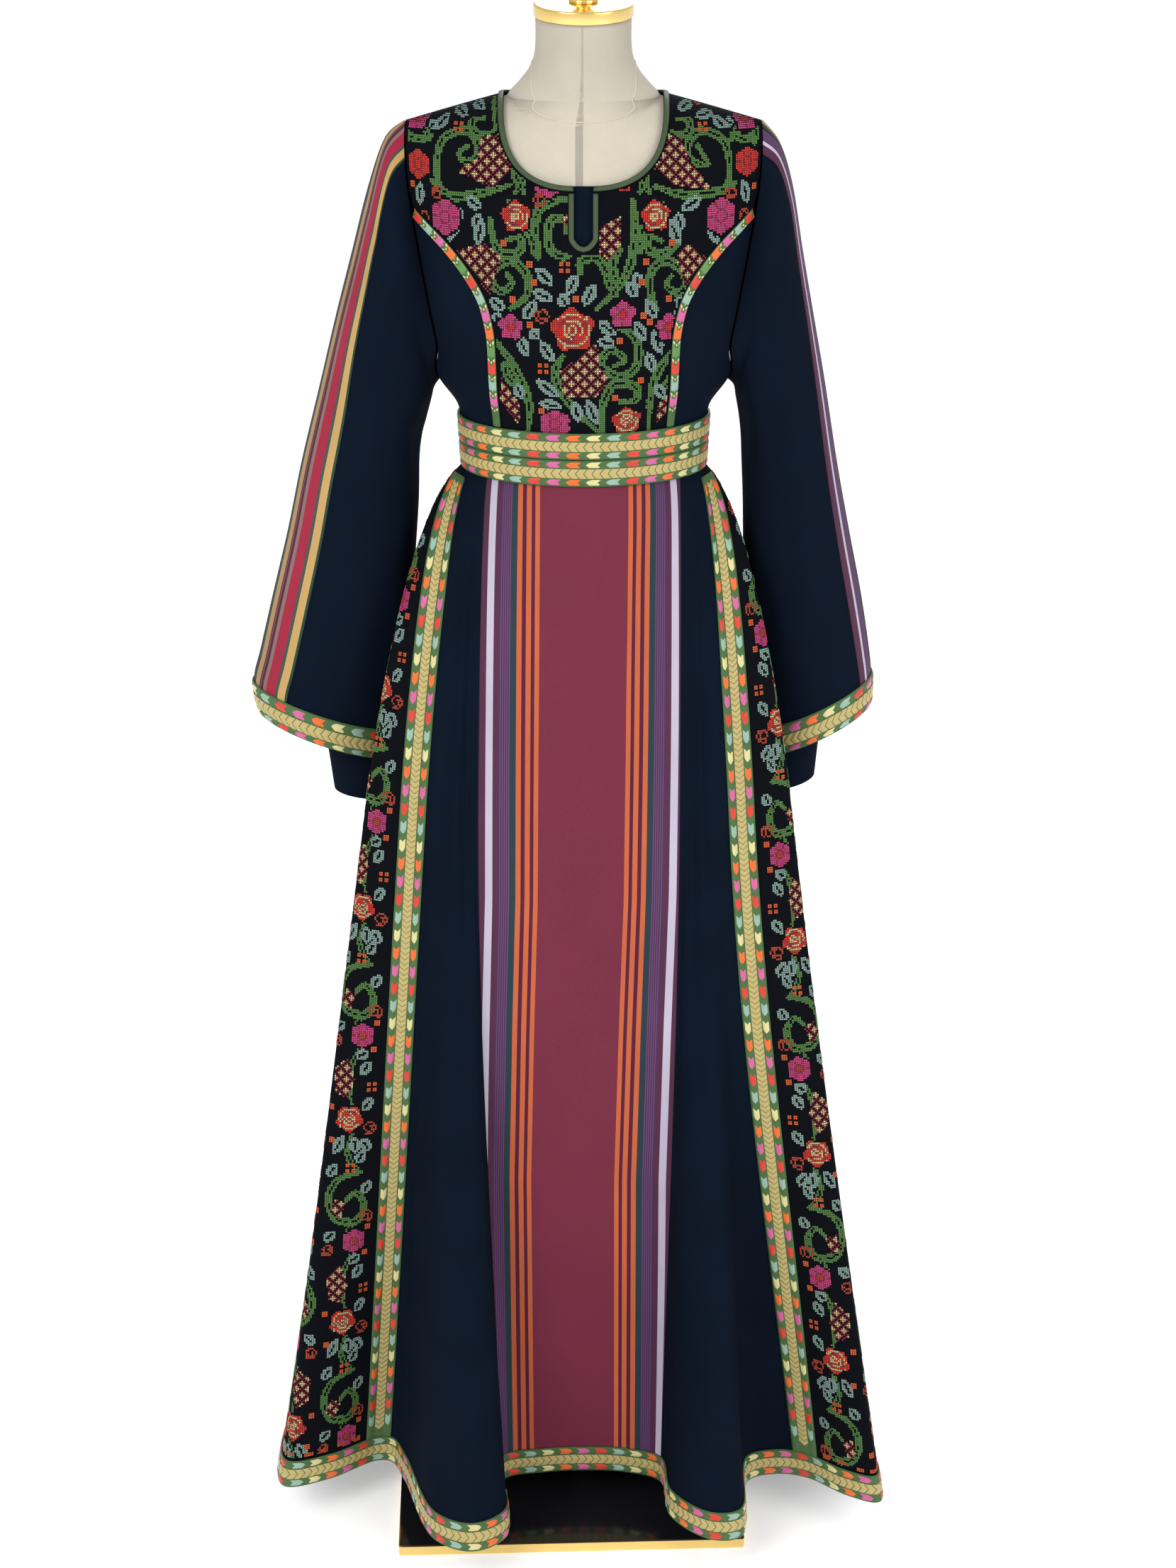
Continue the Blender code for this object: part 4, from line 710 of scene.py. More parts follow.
def dashes(
        band, lift, rows, direction, start=0.0, gap=0.0,
        pitch=DASH_PITCH, length=DASH_LENGTH, cycle=DASH_DYES):
    """Satin-stitched arrow dashes along a band. rows: (middle share, width share) of each."""
    count = int((band.length - gap) / pitch)
    if band.closed:
        count = max(round(band.length / pitch / len(cycle)), 1) * len(cycle)
        pitch = band.length / count
    else:
        start = gap if direction > 0 else band.length - gap
    number = np.arange(count)
    first = (start + direction * number * pitch)[:, None, None]
    points, colours = [], []
    a = np.linspace(-1, 1, 7)[None, None, :]
    t = np.linspace(0, 1, 6)[None, :, None]
    rim = (1 - np.abs(a) ** 4) * (1 - np.abs(2 * t - 1) ** 6)
    tints = [dye(cycle[k % len(cycle)]) for k in number]
    for middle, share in rows:
        half = share * band.width / 2
        across = middle * band.width + a * half + 0 * t + 0 * first
        along = first + direction * (t * length - DASH_TIP * np.abs(a))
        height = lift + three_ridges(np.clip(across / band.width, 0, 1)) + DASH_HEIGHT * rim - 0.0001
        points.append(band.locate(across, along, height).reshape(-1, 3))
        colours.append(np.repeat(tints, rim.size, axis=0))
    return np.concatenate(points), net_faces(count * len(rows), 6, 7), np.concatenate(colours)


def chevrons(band, lift, middle, share, direction, pitch, slope=0.75, gap=0.0):
    """Plaited arms that meet in arrowheads down the middle of a band."""
    count = round((band.length - 2 * gap) / pitch)
    pitch = (band.length - 2 * gap) / count
    first = gap + pitch * (np.arange(count) + 0.5)
    half = share * band.width / 2
    out = np.linspace(0.0, 1.0, 4)[None, :, None]
    u = np.linspace(-1, 1, 5)[None, None, :]
    points = []
    for hand in (-1, 1):
        across = middle * band.width + hand * out * half + 0 * u + 0 * first[:, None, None]
        along = first[:, None, None] + direction * (u * pitch * 0.44 - slope * out * half)
        if not band.closed:
            along = np.clip(along, 0, band.length)
        height = lift + three_ridges(across / band.width) + CHEVRON_HEIGHT * (1 - u * u) + 0.0001
        points.append(band.locate(across, along, height).reshape(-1, 3))
    shade = np.array([dye("gold_thread")])
    points = np.concatenate(points)
    return points, net_faces(count * 2, 4, 5), np.repeat(shade, len(points), axis=0)


def thread_piece(name, parts):
    """One piece from several sets of (points, faces, colours)."""
    points, faces, colours = zip(*parts)
    starts = np.cumsum([0] + [len(some) for some in points])
    faces = np.concatenate([corners + start for corners, start in zip(faces, starts)])
    finish = finish_of("thread_satin")
    place_piece(build_mesh(name, np.concatenate(points), faces, finish, colours=np.concatenate(colours)))


# Counted cross-stitch
STITCH = 0.0022
STITCH_STAR = (
    (0.0, 0.0, 0.75), (0.47, 0.47, 0.2), (0.0, 0.30, 0.3), (-0.47, 0.47, 0.2), (-0.30, 0.0, 0.3),
    (-0.47, -0.47, 0.2), (0.0, -0.30, 0.3), (0.47, -0.47, 0.2), (0.30, 0.0, 0.3),
)
THREADS = (
    "", "green_thread", "sage_thread", "crimson_thread", "cream", "pink_thread", "scarlet_thread",
    "wine_thread", "floret_thread", "rust_thread", "rose_thread",
)


class Chart:
    """Counted chart on squared cloth, in millimetres across and up the cloth."""

    def __init__(self, across, up):
        self.across, self.up = np.meshgrid(across * 1000, up * 1000)
        self.column, self.row = np.meshgrid(np.arange(len(across)), np.arange(len(up)))
        self.thread = np.zeros(self.across.shape, int)

    def paint(self, where, thread):
        self.thread[where] = THREADS.index(thread) if thread else 0

    def polar(self, x, y):
        dx, dy = self.across - x, self.up - y
        return np.hypot(dx, dy), np.arctan2(dy, dx)

    def flower(self, x, y, size, petal, eye=None):
        eye = eye or ("scarlet_thread" if size < 14 else petal)
        reach, angle = self.polar(x, y)
        wave, petals = (0.11, 5) if size < 14 else (0.05, 6)
        edge = size * (0.96 + wave * np.cos(petals * (angle - 1.57)))
        self.paint(reach < edge + 2.4, "")
        self.paint(reach < edge, petal)
        between = np.abs(np.sin(petals / 2 * (angle - 1.57))) > 0.97
        seam = "rose_thread" if petal == "pink_thread" else "wine_thread"
        self.paint(between & (reach < edge) & (reach > size * 0.5), seam)
        self.paint((reach < size * 0.40) & (reach > size * 0.28), seam)
        self.paint(reach < size * 0.26, eye)

    def rose(self, x, y, size):
        reach, angle = self.polar(x, y)
        edge = size * (0.90 + 0.10 * np.cos(5 * (angle - 0.4)))
        self.paint(reach < edge + 2.4, "")
        self.paint(reach < edge, "scarlet_thread")
        self.paint((reach < edge * 0.72) & (np.sin(angle * 3 + 1) > 0), "crimson_thread")
        for share, first, last in (
                (0.7, -2.6, 0.3), (0.7, 1, 2.4), (0.42, -0.6, 2.2), (0.34, 2.6, 4.6), (0.16, -3.2, 3.2)):
            turn = (angle - first) % (2 * pi)
            self.paint((np.abs(reach - size * share) < 1.1) & (turn < last - first), "cream")
        for spoke in (0.7, 2.5, 4.3):
            line = (np.abs(np.sin(angle - spoke)) * reach < 1.1) & (np.cos(angle - spoke) > 0)
            self.paint(line & (reach > size * 0.70) & (reach < size * 0.86), "cream")

    def leaf(self, x0, y0, x1, y1, width=6.4):
        length = sqrt((x1 - x0) ** 2 + (y1 - y0) ** 2)
        ux, uy = (x1 - x0) / length, (y1 - y0) / length
        f = ((self.across - x0) * ux + (self.up - y0) * uy) / length
        off = (self.across - x0) * uy - (self.up - y0) * ux
        half = width * np.sin(pi * np.clip(f, 0, 1)) ** 0.7
        inside = (np.abs(off) < half) & (f > -0.02) & (f < 1.02)
        self.paint(inside, "sage_thread")
        self.paint(inside & (np.abs(off) < 1.2) & (f > 0.25) & (f < 0.78), "")

    def stem(self, *numbers, thick=5.0):
        knots = np.array(numbers, float).reshape(-1, 2)
        line = smooth_row(knots, np.linspace(0, len(knots) - 1, 14 * len(knots)))
        reach = np.full(self.across.shape, 1e9)
        near = np.zeros(self.across.shape, int)
        for k, (x, y) in enumerate(line):
            d = np.hypot(self.across - x, self.up - y)
            closer = d < reach
            reach[closer], near[closer] = d[closer], k
        share = near / (len(line) - 1)
        half = thick * (0.55 + 0.45 * np.sin(pi * np.clip(share * 1.1, 0, 1)))
        self.paint((reach < half + 1.6) & (self.thread == 0), "")
        self.paint(reach < half, "green_thread")
        self.paint((reach < 0.9) & (share > 0.16) & (share < 0.84) & (near % 14 > 3), "")

    def twig(self, *numbers):
        self.stem(*numbers, thick=3.4)

    def block(self, *numbers):
        corners = np.array(numbers, float).reshape(-1, 2)
        inside = np.zeros(self.across.shape, bool)
        for (x0, y0), (x1, y1) in zip(corners, np.roll(corners, -1, axis=0)):
            crosses = (y0 > self.up) != (y1 > self.up)
            rise = y1 - y0 if y1 != y0 else 1e-9
            inside ^= crosses & (self.across < x0 + (x1 - x0) * (self.up - y0) / rise)
        self.paint(inside, "wine_thread")
        along, over = (self.column + self.row) % 6, (self.column - self.row) % 6
        self.paint(inside & ((along == 3) | (over == 3)), "")
        near = ((along == 1) | (along == 5)) & ((over == 1) | (over == 5))
        self.paint(inside & (near | ((along == 0) & (over == 0))), "cream")

    def floret(self, x, y, wide=False):
        column = self.column - np.argmin(np.abs(self.across[0] - x))
        row = self.row - np.argmin(np.abs(self.up[:, 0] - y))
        column, row = np.abs(column), np.abs(row)
        if wide:
            squares = (np.abs(column - 1.5) < 1) & (np.abs(row - 1.5) < 1)
        else:
            squares = (column == row) & (column < 2) | (column + row == 1)
        self.paint(squares, "floret_thread")

    def curl(self, x, y, size, turn=0.0):
        reach, angle = self.polar(x, y)
        winding = ((angle - turn) % (2 * pi)) / (2 * pi)
        for lap in (0, 1):
            radius = size * (1 - 0.42 * (winding + lap))
            self.paint((np.abs(reach - radius) < 1.15) & ((lap == 0) | (winding < 0.55)), "rust_thread")

    def draw(self, motifs, x=0.0, y=0.0, flip=1):
        """Draw a table of motifs, moved to x and y, mirrored across where flip is -1."""
        for kind, rows in motifs:
            for row in rows:
                places = {"leaf": 4, "flower": 2, "rose": 2, "floret": 2, "curl": 2}.get(kind, len(row))
                moved = [y + n if k % 2 else x + n * flip for k, n in enumerate(row[:places])]
                getattr(self, kind)(*moved, *row[places:])


def stitch_piece(name, points, normals, sideways, threads):
    """Raised cross-stitches at points, one mesh with a thread colour at each point, lightened by a painted
    highlight on each cross's raised middle and darkened by painted shade on its arm tips and in the notches
    between its arms.
    """
    up = np.cross(normals, sideways)
    up *= np.sign(up[:, 2:3] + 1e-9)
    star = np.array(STITCH_STAR)
    grid = (
        points[:, None] + sideways[:, None] * (star[:, 0] * STITCH)[None, :, None]
        + up[:, None] * (star[:, 1] * STITCH)[None, :, None]
        + normals[:, None] * (star[:, 2] / 1000)[None, :, None]
    )
    faces = np.array([(0, k, k % 8 + 1) for k in range(1, 9)])
    turned = np.cross(grid[:, 1] - grid[:, 0], grid[:, 2] - grid[:, 0])
    backward = (turned * normals).sum(axis=-1) < 0
    faces = np.repeat(faces[None], len(points), axis=0)
    faces[backward] = faces[backward][:, :, ::-1]
    faces = (faces + (np.arange(len(points)) * 9)[:, None, None]).reshape(-1, 3)
    tints = np.array([dye(thread) if thread else (0, 0, 0) for thread in THREADS])[threads]
    tints = tints * np.random.default_rng(7).uniform(0.82, 1.12, (len(points), 1))
    # Painted light and shade at the nine corners of each cross: the raised middle lightened, the arm tips a
    # little darker, the notches between the arms much darker
    shade = np.array([1.1] + [0.9, 0.62] * 4)
    colours = (tints[:, None] * shade[None, :, None]).reshape(-1, 3)
    finish = finish_of("stitch_cotton")
    place_piece(build_mesh(name, grid.reshape(-1, 3), faces, finish, colours=colours, smooth=False))


YOKE_CENTRE_SHIFT, YOKE_NET_X = -5, 0.06
# Motifs of the yoke, by distance from the centre and up the cloth from the waist, in mm
YOKE_MOTIFS = (
    ("stem", (
        (-140, 265, -149, 285, -147, 311, -138, 326, -116, 333, -103, 318, -105, 304,
         -116, 300, -124, 308, -114, 316),
        (-156, 279, -131, 265, -98, 270, -69, 279), (-63, 298, -56, 284, -63, 272),
        (2, 222, -14, 211, -28, 219, -30, 237, -24, 248, -12, 246, -12, 235),
        (2, 195, 2, 206, 16, 210, 26, 200, 30, 184, 38, 174),
        (54, 265, 56, 237, 52, 204, 38, 179, 18, 160), (-189, 326, -172, 320, -156, 324),
        (-61, 307, -63, 290, -54, 273), (-89, 246, -85, 223, -75, 212, -58, 216, -58, 228, -71, 226),
        (-69, 159, -52, 172, -52, 193, -69, 206, -90, 191, -80, 175, -67, 183, -72, 192),
        (-40, 209, -42, 249, -28, 263, -8, 267), (38, 183, 34, 204, 42, 218),
        (98, 242, 100, 225, 87, 213, 71, 216, 70, 229, 83, 225),
        (79, 158, 73, 172, 73, 195, 90, 205, 111, 187, 104, 173, 89, 180, 94, 190),
        (149, 263, 158, 284, 156, 309, 147, 325, 125, 332, 112, 318, 113, 304, 124, 298, 133, 298,
         122, 317),
        (165, 276, 140, 269, 104, 269, 77, 278), (71, 298, 65, 284, 71, 272),
        (191, 327, 177, 320, 161, 327), (65, 308, 67, 290, 61, 273),
        (24, 146, 46, 139, 60, 123, 58, 101, 42, 91, 23, 103, 31, 119, 47, 109, 37, 103),
        (24, 30, 24, 60, 36, 83, 58, 79, 58, 65, 42, 64), (-84, 124, -65, 98, -51, 62, -53, 28),
        (-77, 103, -72, 87, -57, 75), (108, 121, 87, 102, 75, 75, 73, 28), (98, 96, 93, 81, 78, 73),
        (-16, 113, -24, 92, -8, 61, 20, 30), (-70, 262, -48, 232, -44, 214), (84, 261, 64, 236, 62, 216),
        (-186, 315, -184, 333, -166, 333, -158, 320), (189, 315, 189, 332, 170, 332, 160, 320),
        (-93, 379, -84, 335, -105, 330, -111, 344, -98, 348),
        (95, 378, 88, 336, 110, 330, 115, 344, 102, 347),
    )),
    ("block", (
        (-84, 331, -64, 298, -87, 276, -127, 290, -103, 304, -101, 326),
        (88, 333, 74, 297, 98, 278, 138, 271, 111, 305, 106, 325),
        (-17, 246, -8, 256, -1, 249, -10, 241), (42, 250, 11, 235, 16, 218, 30, 207, 43, 223),
        (-131, 210, -96, 222, -78, 209, -91, 171, -112, 195),
        (143, 196, 113, 221, 98, 210, 113, 170, 133, 186),
        (19, 127, -19, 97, -15, 69, 18, 69, 31, 89, 20, 105), (-80, 87, -60, 58, -63, 35, -84, 62),
        (105, 85, 82, 56, 83, 35, 107, 59),
    )),
    ("leaf", (
        (-170, 276, -173, 253), (-115, 265, -98, 255), (-102, 251, -104, 233), (-98, 245, -103, 219),
        (-42, 200, -26, 183), (-46, 177, -25, 168), (-1, 194, -12, 173), (-17, 176, -12, 160),
        (17, 185, 5, 163), (48, 187, 58, 170), (56, 195, 62, 180), (174, 279, 183, 255),
        (126, 265, 104, 254), (100, 252, 104, 233), (91, 246, 103, 220), (-91, 167, -75, 157),
        (-43, 168, -55, 148), (-89, 150, -76, 147), (-62, 134, -51, 111), (-49, 138, -39, 130),
        (-39, 128, -25, 107), (-43, 88, -19, 69), (-41, 63, -16, 58), (-4, 65, 0, 42), (8, 68, 19, 39),
        (20, 148, 37, 134), (19, 128, 37, 125), (56, 147, 68, 127), (68, 168, 78, 149),
        (76, 138, 85, 112), (70, 115, 77, 93), (99, 169, 113, 154), (98, 154, 111, 145),
        (79, 81, 90, 64), (-64, 82, -58, 66), (-120, 254, -136, 219), (132, 242, 148, 217),
        (-138, 352, -152, 331), (141, 350, 156, 333), (-136, 362, -117, 349), (145, 354, 122, 348),
        (-118, 371, -99, 359), (126, 370, 103, 358), (-150, 340, -160, 334), (155, 342, 165, 338),
    )),
    ("flower", (
        (-172, 294, 15, "scarlet_thread"), (180, 297, 15, "scarlet_thread"),
        (-140, 244, 18, "pink_thread"), (149, 245, 18, "pink_thread"), (-30, 283, 15, "pink_thread"),
        (46, 282, 8, "scarlet_thread"), (-69, 140, 13, "pink_thread"), (44, 154, 13, "pink_thread"),
        (92, 139, 13, "pink_thread"), (-24, 39, 16, "pink_thread"), (-175, 343, 13, "pink_thread"),
        (180, 343, 13, "pink_thread"),
    )),
    ("rose", (
        (-62, 249, 16), (77, 249, 16), (-6, 139, 23), (49, 42, 16),
    )),
    ("floret", (
        (-181, 273), (-184, 244), (-44, 185), (-48, 203), (-14, 200, 1), (-75, 222), (-67, 168),
        (-2, 169), (-48, 143), (-36, 99, 1), (-38, 54), (36, 68), (42, 127), (63, 87), (65, 152),
        (73, 145), (63, 186), (67, 204), (94, 223), (92, 167), (192, 272), (193, 244), (-125, 336, 1),
        (130, 337, 1), (-124, 367), (132, 365),
    )),
    ("curl", (
        (-149, 267, 7, 0.4), (-167, 242, 7, 3), (-38, 265, 7, 1), (-36, 153, 8, 2.4), (161, 267, 7, 2.2),
        (178, 243, 7, 0.2),
    )),
)


def yoke_net():
    """Squares of the yoke's cloth: x and height of each, by level row up and column out."""
    top = shoulder_z(YOKE_NET_X)
    turn = turn_from_drop(top - WAIST_Z) * (1 - np.linspace(0, 1, 260))
    height = top - drop_from_turn(turn)
    line = bodice_point(1, -1, *bodice_coordinates(YOKE_NET_X + 0 * height, height))
    length = run_along(line)
    up = np.arange(0.018, length[-1], STITCH)
    out = (np.arange(96) + 0.5) * STITCH
    levels = np.interp(up, length, height)
    fine = np.linspace(0, 0.184, 93)
    x = np.full((len(up), len(out)), np.nan)
    for row, z in enumerate(levels):
        there = fine[shoulder_z(fine) - z > 0]
        points = bodice_point(1, -1, *bodice_coordinates(there, z + 0 * there))
        x[row] = np.interp(out, run_along(points), there, right=np.nan)
    return out, up, x, np.repeat(levels[:, None], len(out), axis=1)


def inside_yoke(x, z):
    """Whether the square lies clear of the trim, armhole, neck, slit and shoulder seam."""
    edge = np.array(YOKE_EDGE)
    rise_x, rise_z = np.gradient(edge[:, 0]), np.gradient(edge[:, 1])
    slant = np.interp(z, edge[:, 1], np.hypot(rise_x, rise_z) / rise_z)
    trim_x = np.interp(z, edge[:, 1], edge[:, 0]) - (YOKE_TRIM_WIDTH / 2 + 0.0012) * slant
    angle, _ = armhole_coordinates(np.maximum(z, UNDERARM_Z))
    arm_x = smooth_at(TORSO, z)[..., 0] * np.sin(angle) - 0.0025
    inside = x < np.where(z < edge[-1, 1], trim_x, arm_x)
    top, margin = shoulder_z(NECK_POINT_X), BINDING_WIDTH + 0.0016
    across = (x / (NECK_POINT_X + margin)) ** NECK_POWER
    down = (np.maximum(top - z, 0) / (top - NECK_FRONT_Z + margin)) ** NECK_POWER
    inside &= (across + down >= 1) | (z <= NECK_FRONT_Z - margin)
    inside &= (x > SLIT_HALF + margin) | (z < SLIT_BOTTOM_Z - margin) | (z > NECK_FRONT_Z)
    return inside & (shoulder_z(x) - z > 0.0006)


def side_net(side):
    """Squares of a side panel: place and share of each, by row down and column out."""
    share = np.linspace(0, 1, 500)
    line = skirt_point(side, np.full(500, float(BRAID_LINE)), share)
    run = run_along(line)
    down = np.arange(0.012, run[-1] - BRAID_WIDTH - 0.003, STITCH)
    row_share = np.interp(down, run, share)
    places = np.linspace(BRAID_LINE, SIDE_BACK, 141)
    points = skirt_point(side, places[None, :], row_share[:, None])
    arc = run_along(points, 1)
    out = BRAID_WIDTH / 2 + 0.0016 + (np.arange(SIDE_SQUARES) + 0.5) * STITCH
    place = np.array([np.interp(out, row, places, right=np.nan) for row in arc])
    end = arc[:, -1:] - 0.004
    place[out[None, :] > end] = np.nan
    return out, down, place, np.repeat(row_share[:, None], len(out), axis=1)


# One repeat of the side panels, by distance out from the braid and down, in mm
SIDE_REPEAT, SIDE_COLUMN, SIDE_SQUARES, SIDE_MIDDLE = 242, 62, 165, 0.110
SIDE_START = {-1: -92, 1: -58}
SIDE_MOTIFS = (
    ("stem", ((20, 160, 44, 168, 54, 190, 44, 214, 22, 218, 14, 200, 24, 184, 34, 192),)),
    ("twig", ((26, 222, 32, 232, 24, 246), (26, 14, 36, 44, 32, 82), (30, 112, 34, 140, 20, 160))),
    ("block", ((38, 26, 54, 40, 52, 66, 38, 74, 30, 52), (34, 196, 46, 190, 52, 206, 40, 214))),
    ("flower", ((24, 0, 14, "pink_thread", "rust_thread"),)),
    ("rose", ((34, 97, 16),)),
    ("leaf", (
        (16, 18, 30, 26), (14, 30, 24, 46), (10, 72, 20, 88), (40, 116, 50, 138), (28, 118, 26, 138),
        (20, 120, 10, 136), (16, 134, 24, 150), (46, 150, 56, 164), (8, 172, 16, 186), (46, 228, 58, 240),
    )),
    ("floret", ((11, 16), (12, 60, 1), (52, 122), (30, 154, 1), (8, 228), (56, 84))),
    ("curl", ((12, 108, 8, 1.0), (12, 214, 8, 2.0), (54, 8, 7, 0.5))),
)


# Finishes

class Nodes:
    """A node tree that is filled node by node, each joined as it is added."""

    def __init__(self, tree):
        self.tree = tree

    def join(self, value, socket):
        """Link another node's output to a socket, or give the socket a plain value."""
        if isinstance(value, bpy.types.NodeSocket):
            self.tree.links.new(value, socket)
        else:
            socket.default_value = value

    def give(self, target, **values):
        """Set a node's own settings or its inputs, by name."""
        for key, value in values.items():
            if hasattr(target, key):
                setattr(target, key, value)
            else:
                self.join(value, target.inputs[key.replace("_", " ")])
        return target

    def add(self, kind, **values):
        return self.give(self.tree.nodes.new("ShaderNode" + kind), **values)

    def math(self, operation, *values):
        made = self.add("Math", operation=operation)
        for place, value in enumerate(values):
            self.join(value, made.inputs[place])
        return made.outputs[0]

    def wave(self, distance, pitch):
        return self.math("SINE", self.math("MULTIPLY", distance, 2 * pi / pitch))


class Finish(Nodes):
    """A material in the making. place is the socket of its Object coordinates."""

    def __init__(self, name, roughness, **values):
        self.material = bpy.data.materials.new(name)
        self.material.use_nodes = True
        super().__init__(self.material.node_tree)
        self.shader = self.give(self.tree.nodes["Principled BSDF"], Roughness=roughness, **values)
        self.place = self.add("TexCoord").outputs["Object"]

    def bump(self, height, strength, distance):
        made = self.add("Bump", Strength=strength, Distance=distance, Height=height)
        self.give(self.shader, Normal=made.outputs[0])

    def weave(self, pitch, strength):
        """Plain weave: two crossing sets of threads, along the cloth's own UV map."""
        split = self.add("SeparateXYZ", Vector=self.add("UVMap", uv_map="cloth").outputs[0])
        waves = [self.wave(split.outputs[axis], pitch) for axis in (0, 1)]
        grain = self.add("TexNoise", Scale=900.0, Detail=3.0, Vector=self.place)
        self.bump(self.math("ADD", self.math("MULTIPLY", *waves), grain.outputs["Fac"]), strength, 0.0003)
        return split.outputs[0]

    def colour(self, colour, low, high, scale):
        """Give the colour, darkened and lightened a little in broad patches."""
        noise = self.add("TexNoise", Scale=scale, Detail=4.0, Vector=self.place)
        level = self.add("MapRange", To_Min=low, To_Max=high, Value=noise.outputs["Fac"])
        mix = self.add("VectorMath", operation="SCALE", Scale=level.outputs[0])
        self.join(colour, mix.inputs[0])
        self.give(self.shader, Base_Color=mix.outputs[0])
        return self.material


# Stripes of the centre panel from its middle out, and of the sleeve inserts from one edge on:
# the distance of each stripe's end in mm, and its colour
PANEL_STRIPES = (
    (45.85, "burgundy"), (50.55, "orange"), (54.45, "maroon"), (60.05, "orange"), (64.35, "maroon"),
    (69.95, "orange"), (76.55, "teal"), (88.75, "purple"), (95.15, "plum"), (103.25, "white"),
    (140.00, "plum"),
)
SLEEVE_STRIPES = (
    (3.0, "green"), (12.0, "gold"), (16.0, "grey_green"), (29.0, "crimson"), (34.0, "taupe"),
    (38.0, "maroon"), (39.0, "taupe"), (41.0, "maroon"), (50.0, "tan"), (55.0, "green"),
    (58.0, "black"), (70.0, "purple"), (74.0, "white"), (90.0, "plum"),
)
DYES = {
    "burgundy": "#6a2438", "orange": "#b65a36", "maroon": "#4e1430", "teal": "#22343e",
    "purple": "#4a284e", "plum": "#4c2640", "white": "#b2aabc", "green": "#274030", "gold": "#b4925a",
    "grey_green": "#3c4842", "crimson": "#941f38", "taupe": "#7c6460", "tan": "#a08058",
    "black": "#101216", "orange_thread": "#d65e1c", "pink": "#bc5488", "red": "#c43020",
    "sage": "#84a292", "cream": "#c6bc84", "gold_thread": "#ab9a60", "green_thread": "#548040",
    "sage_thread": "#88a49a", "crimson_thread": "#a4242c", "pink_thread": "#c24078",
    "scarlet_thread": "#cc3024", "wine_thread": "#8a2230", "floret_thread": "#d65c28",
    "rust_thread": "#b44428", "rose_thread": "#96284e",
}
THREAD_BETWEEN = (0.150, 0.095, 0.180, 1.0)


def dye(name):
    """Linear colour of a dye."""
    values = [int(DYES[name][k:k + 2], 16) / 255 for k in (1, 3, 5)]
    return tuple(v / 12.92 if v <= 0.04045 else ((v + 0.055) / 1.055) ** 2.4 for v in values)


def striped_finish(name, stripes, span, mirrored):
    """Stripes that run along the cloth, read from the distance across it."""
    finish = Finish(name, 0.62, Sheen_Weight=0.015, Specular_IOR_Level=0.15)
    across = finish.weave(0.0007, 0.40)
    if mirrored:
        across = finish.math("ABSOLUTE", across)
    ramp = finish.add("ValToRGB", Fac=finish.math("DIVIDE", across, span))
    ramp.color_ramp.interpolation = "CONSTANT"
    stops = ramp.color_ramp.elements
    start = 0.0
    for k, (end, tint) in enumerate(stripes):
        if k < 2:
            stops[k].position = start / span
        stop = stops[k] if k < 2 else stops.new(start / span)
        stop.color = (*dye(tint), 1.0)
        if tint == "purple":
            first, last = start, end / 1000
        start = end / 1000
    # Fine paler threads run through the purple stripe
    threads = finish.wave(across, 0.0024)
    peak = finish.add("MapRange", From_Min=0.2, From_Max=0.8, To_Min=0.0, To_Max=0.55, Value=threads)
    above, below = finish.math("GREATER_THAN", across, first), finish.math("LESS_THAN", across, last)
    amount = finish.math("MULTIPLY", finish.math("MULTIPLY", above, below), peak.outputs[0])
    mix = finish.add("Mix", data_type="RGBA")
    for place, value in ((0, amount), (6, ramp.outputs[0]), (7, THREAD_BETWEEN)):
        finish.join(value, mix.inputs[place])
    return finish.colour(mix.outputs[2], 0.82, 1.16, 9.0)


def plain_finish(name, colour, roughness, metallic, specular, weave, patches=(0.85, 1.15, 30.0)):
    finish = Finish(name, roughness, Metallic=metallic, Specular_IOR_Level=specular)
    if weave:
        finish.weave(*weave)
    base = finish.add("RGB").outputs[0]
    base.default_value = (*colour, 1.0)
    return finish.colour(base, *patches)


def thread_finish(name, roughness, sheen):
    """Dyed thread: the colour is the mesh's own attribute, with a fine twist in relief."""
    finish = Finish(name, roughness, Sheen_Weight=sheen, Specular_IOR_Level=0.35)
    twist = finish.add("TexNoise", Scale=1400.0, Detail=2.0, Vector=finish.place)
    finish.bump(twist.outputs["Fac"], 0.35, 0.0002)
    thread = finish.add("Attribute", attribute_name="thread")
    return finish.colour(thread.outputs["Color"], 0.86, 1.12, 160.0)


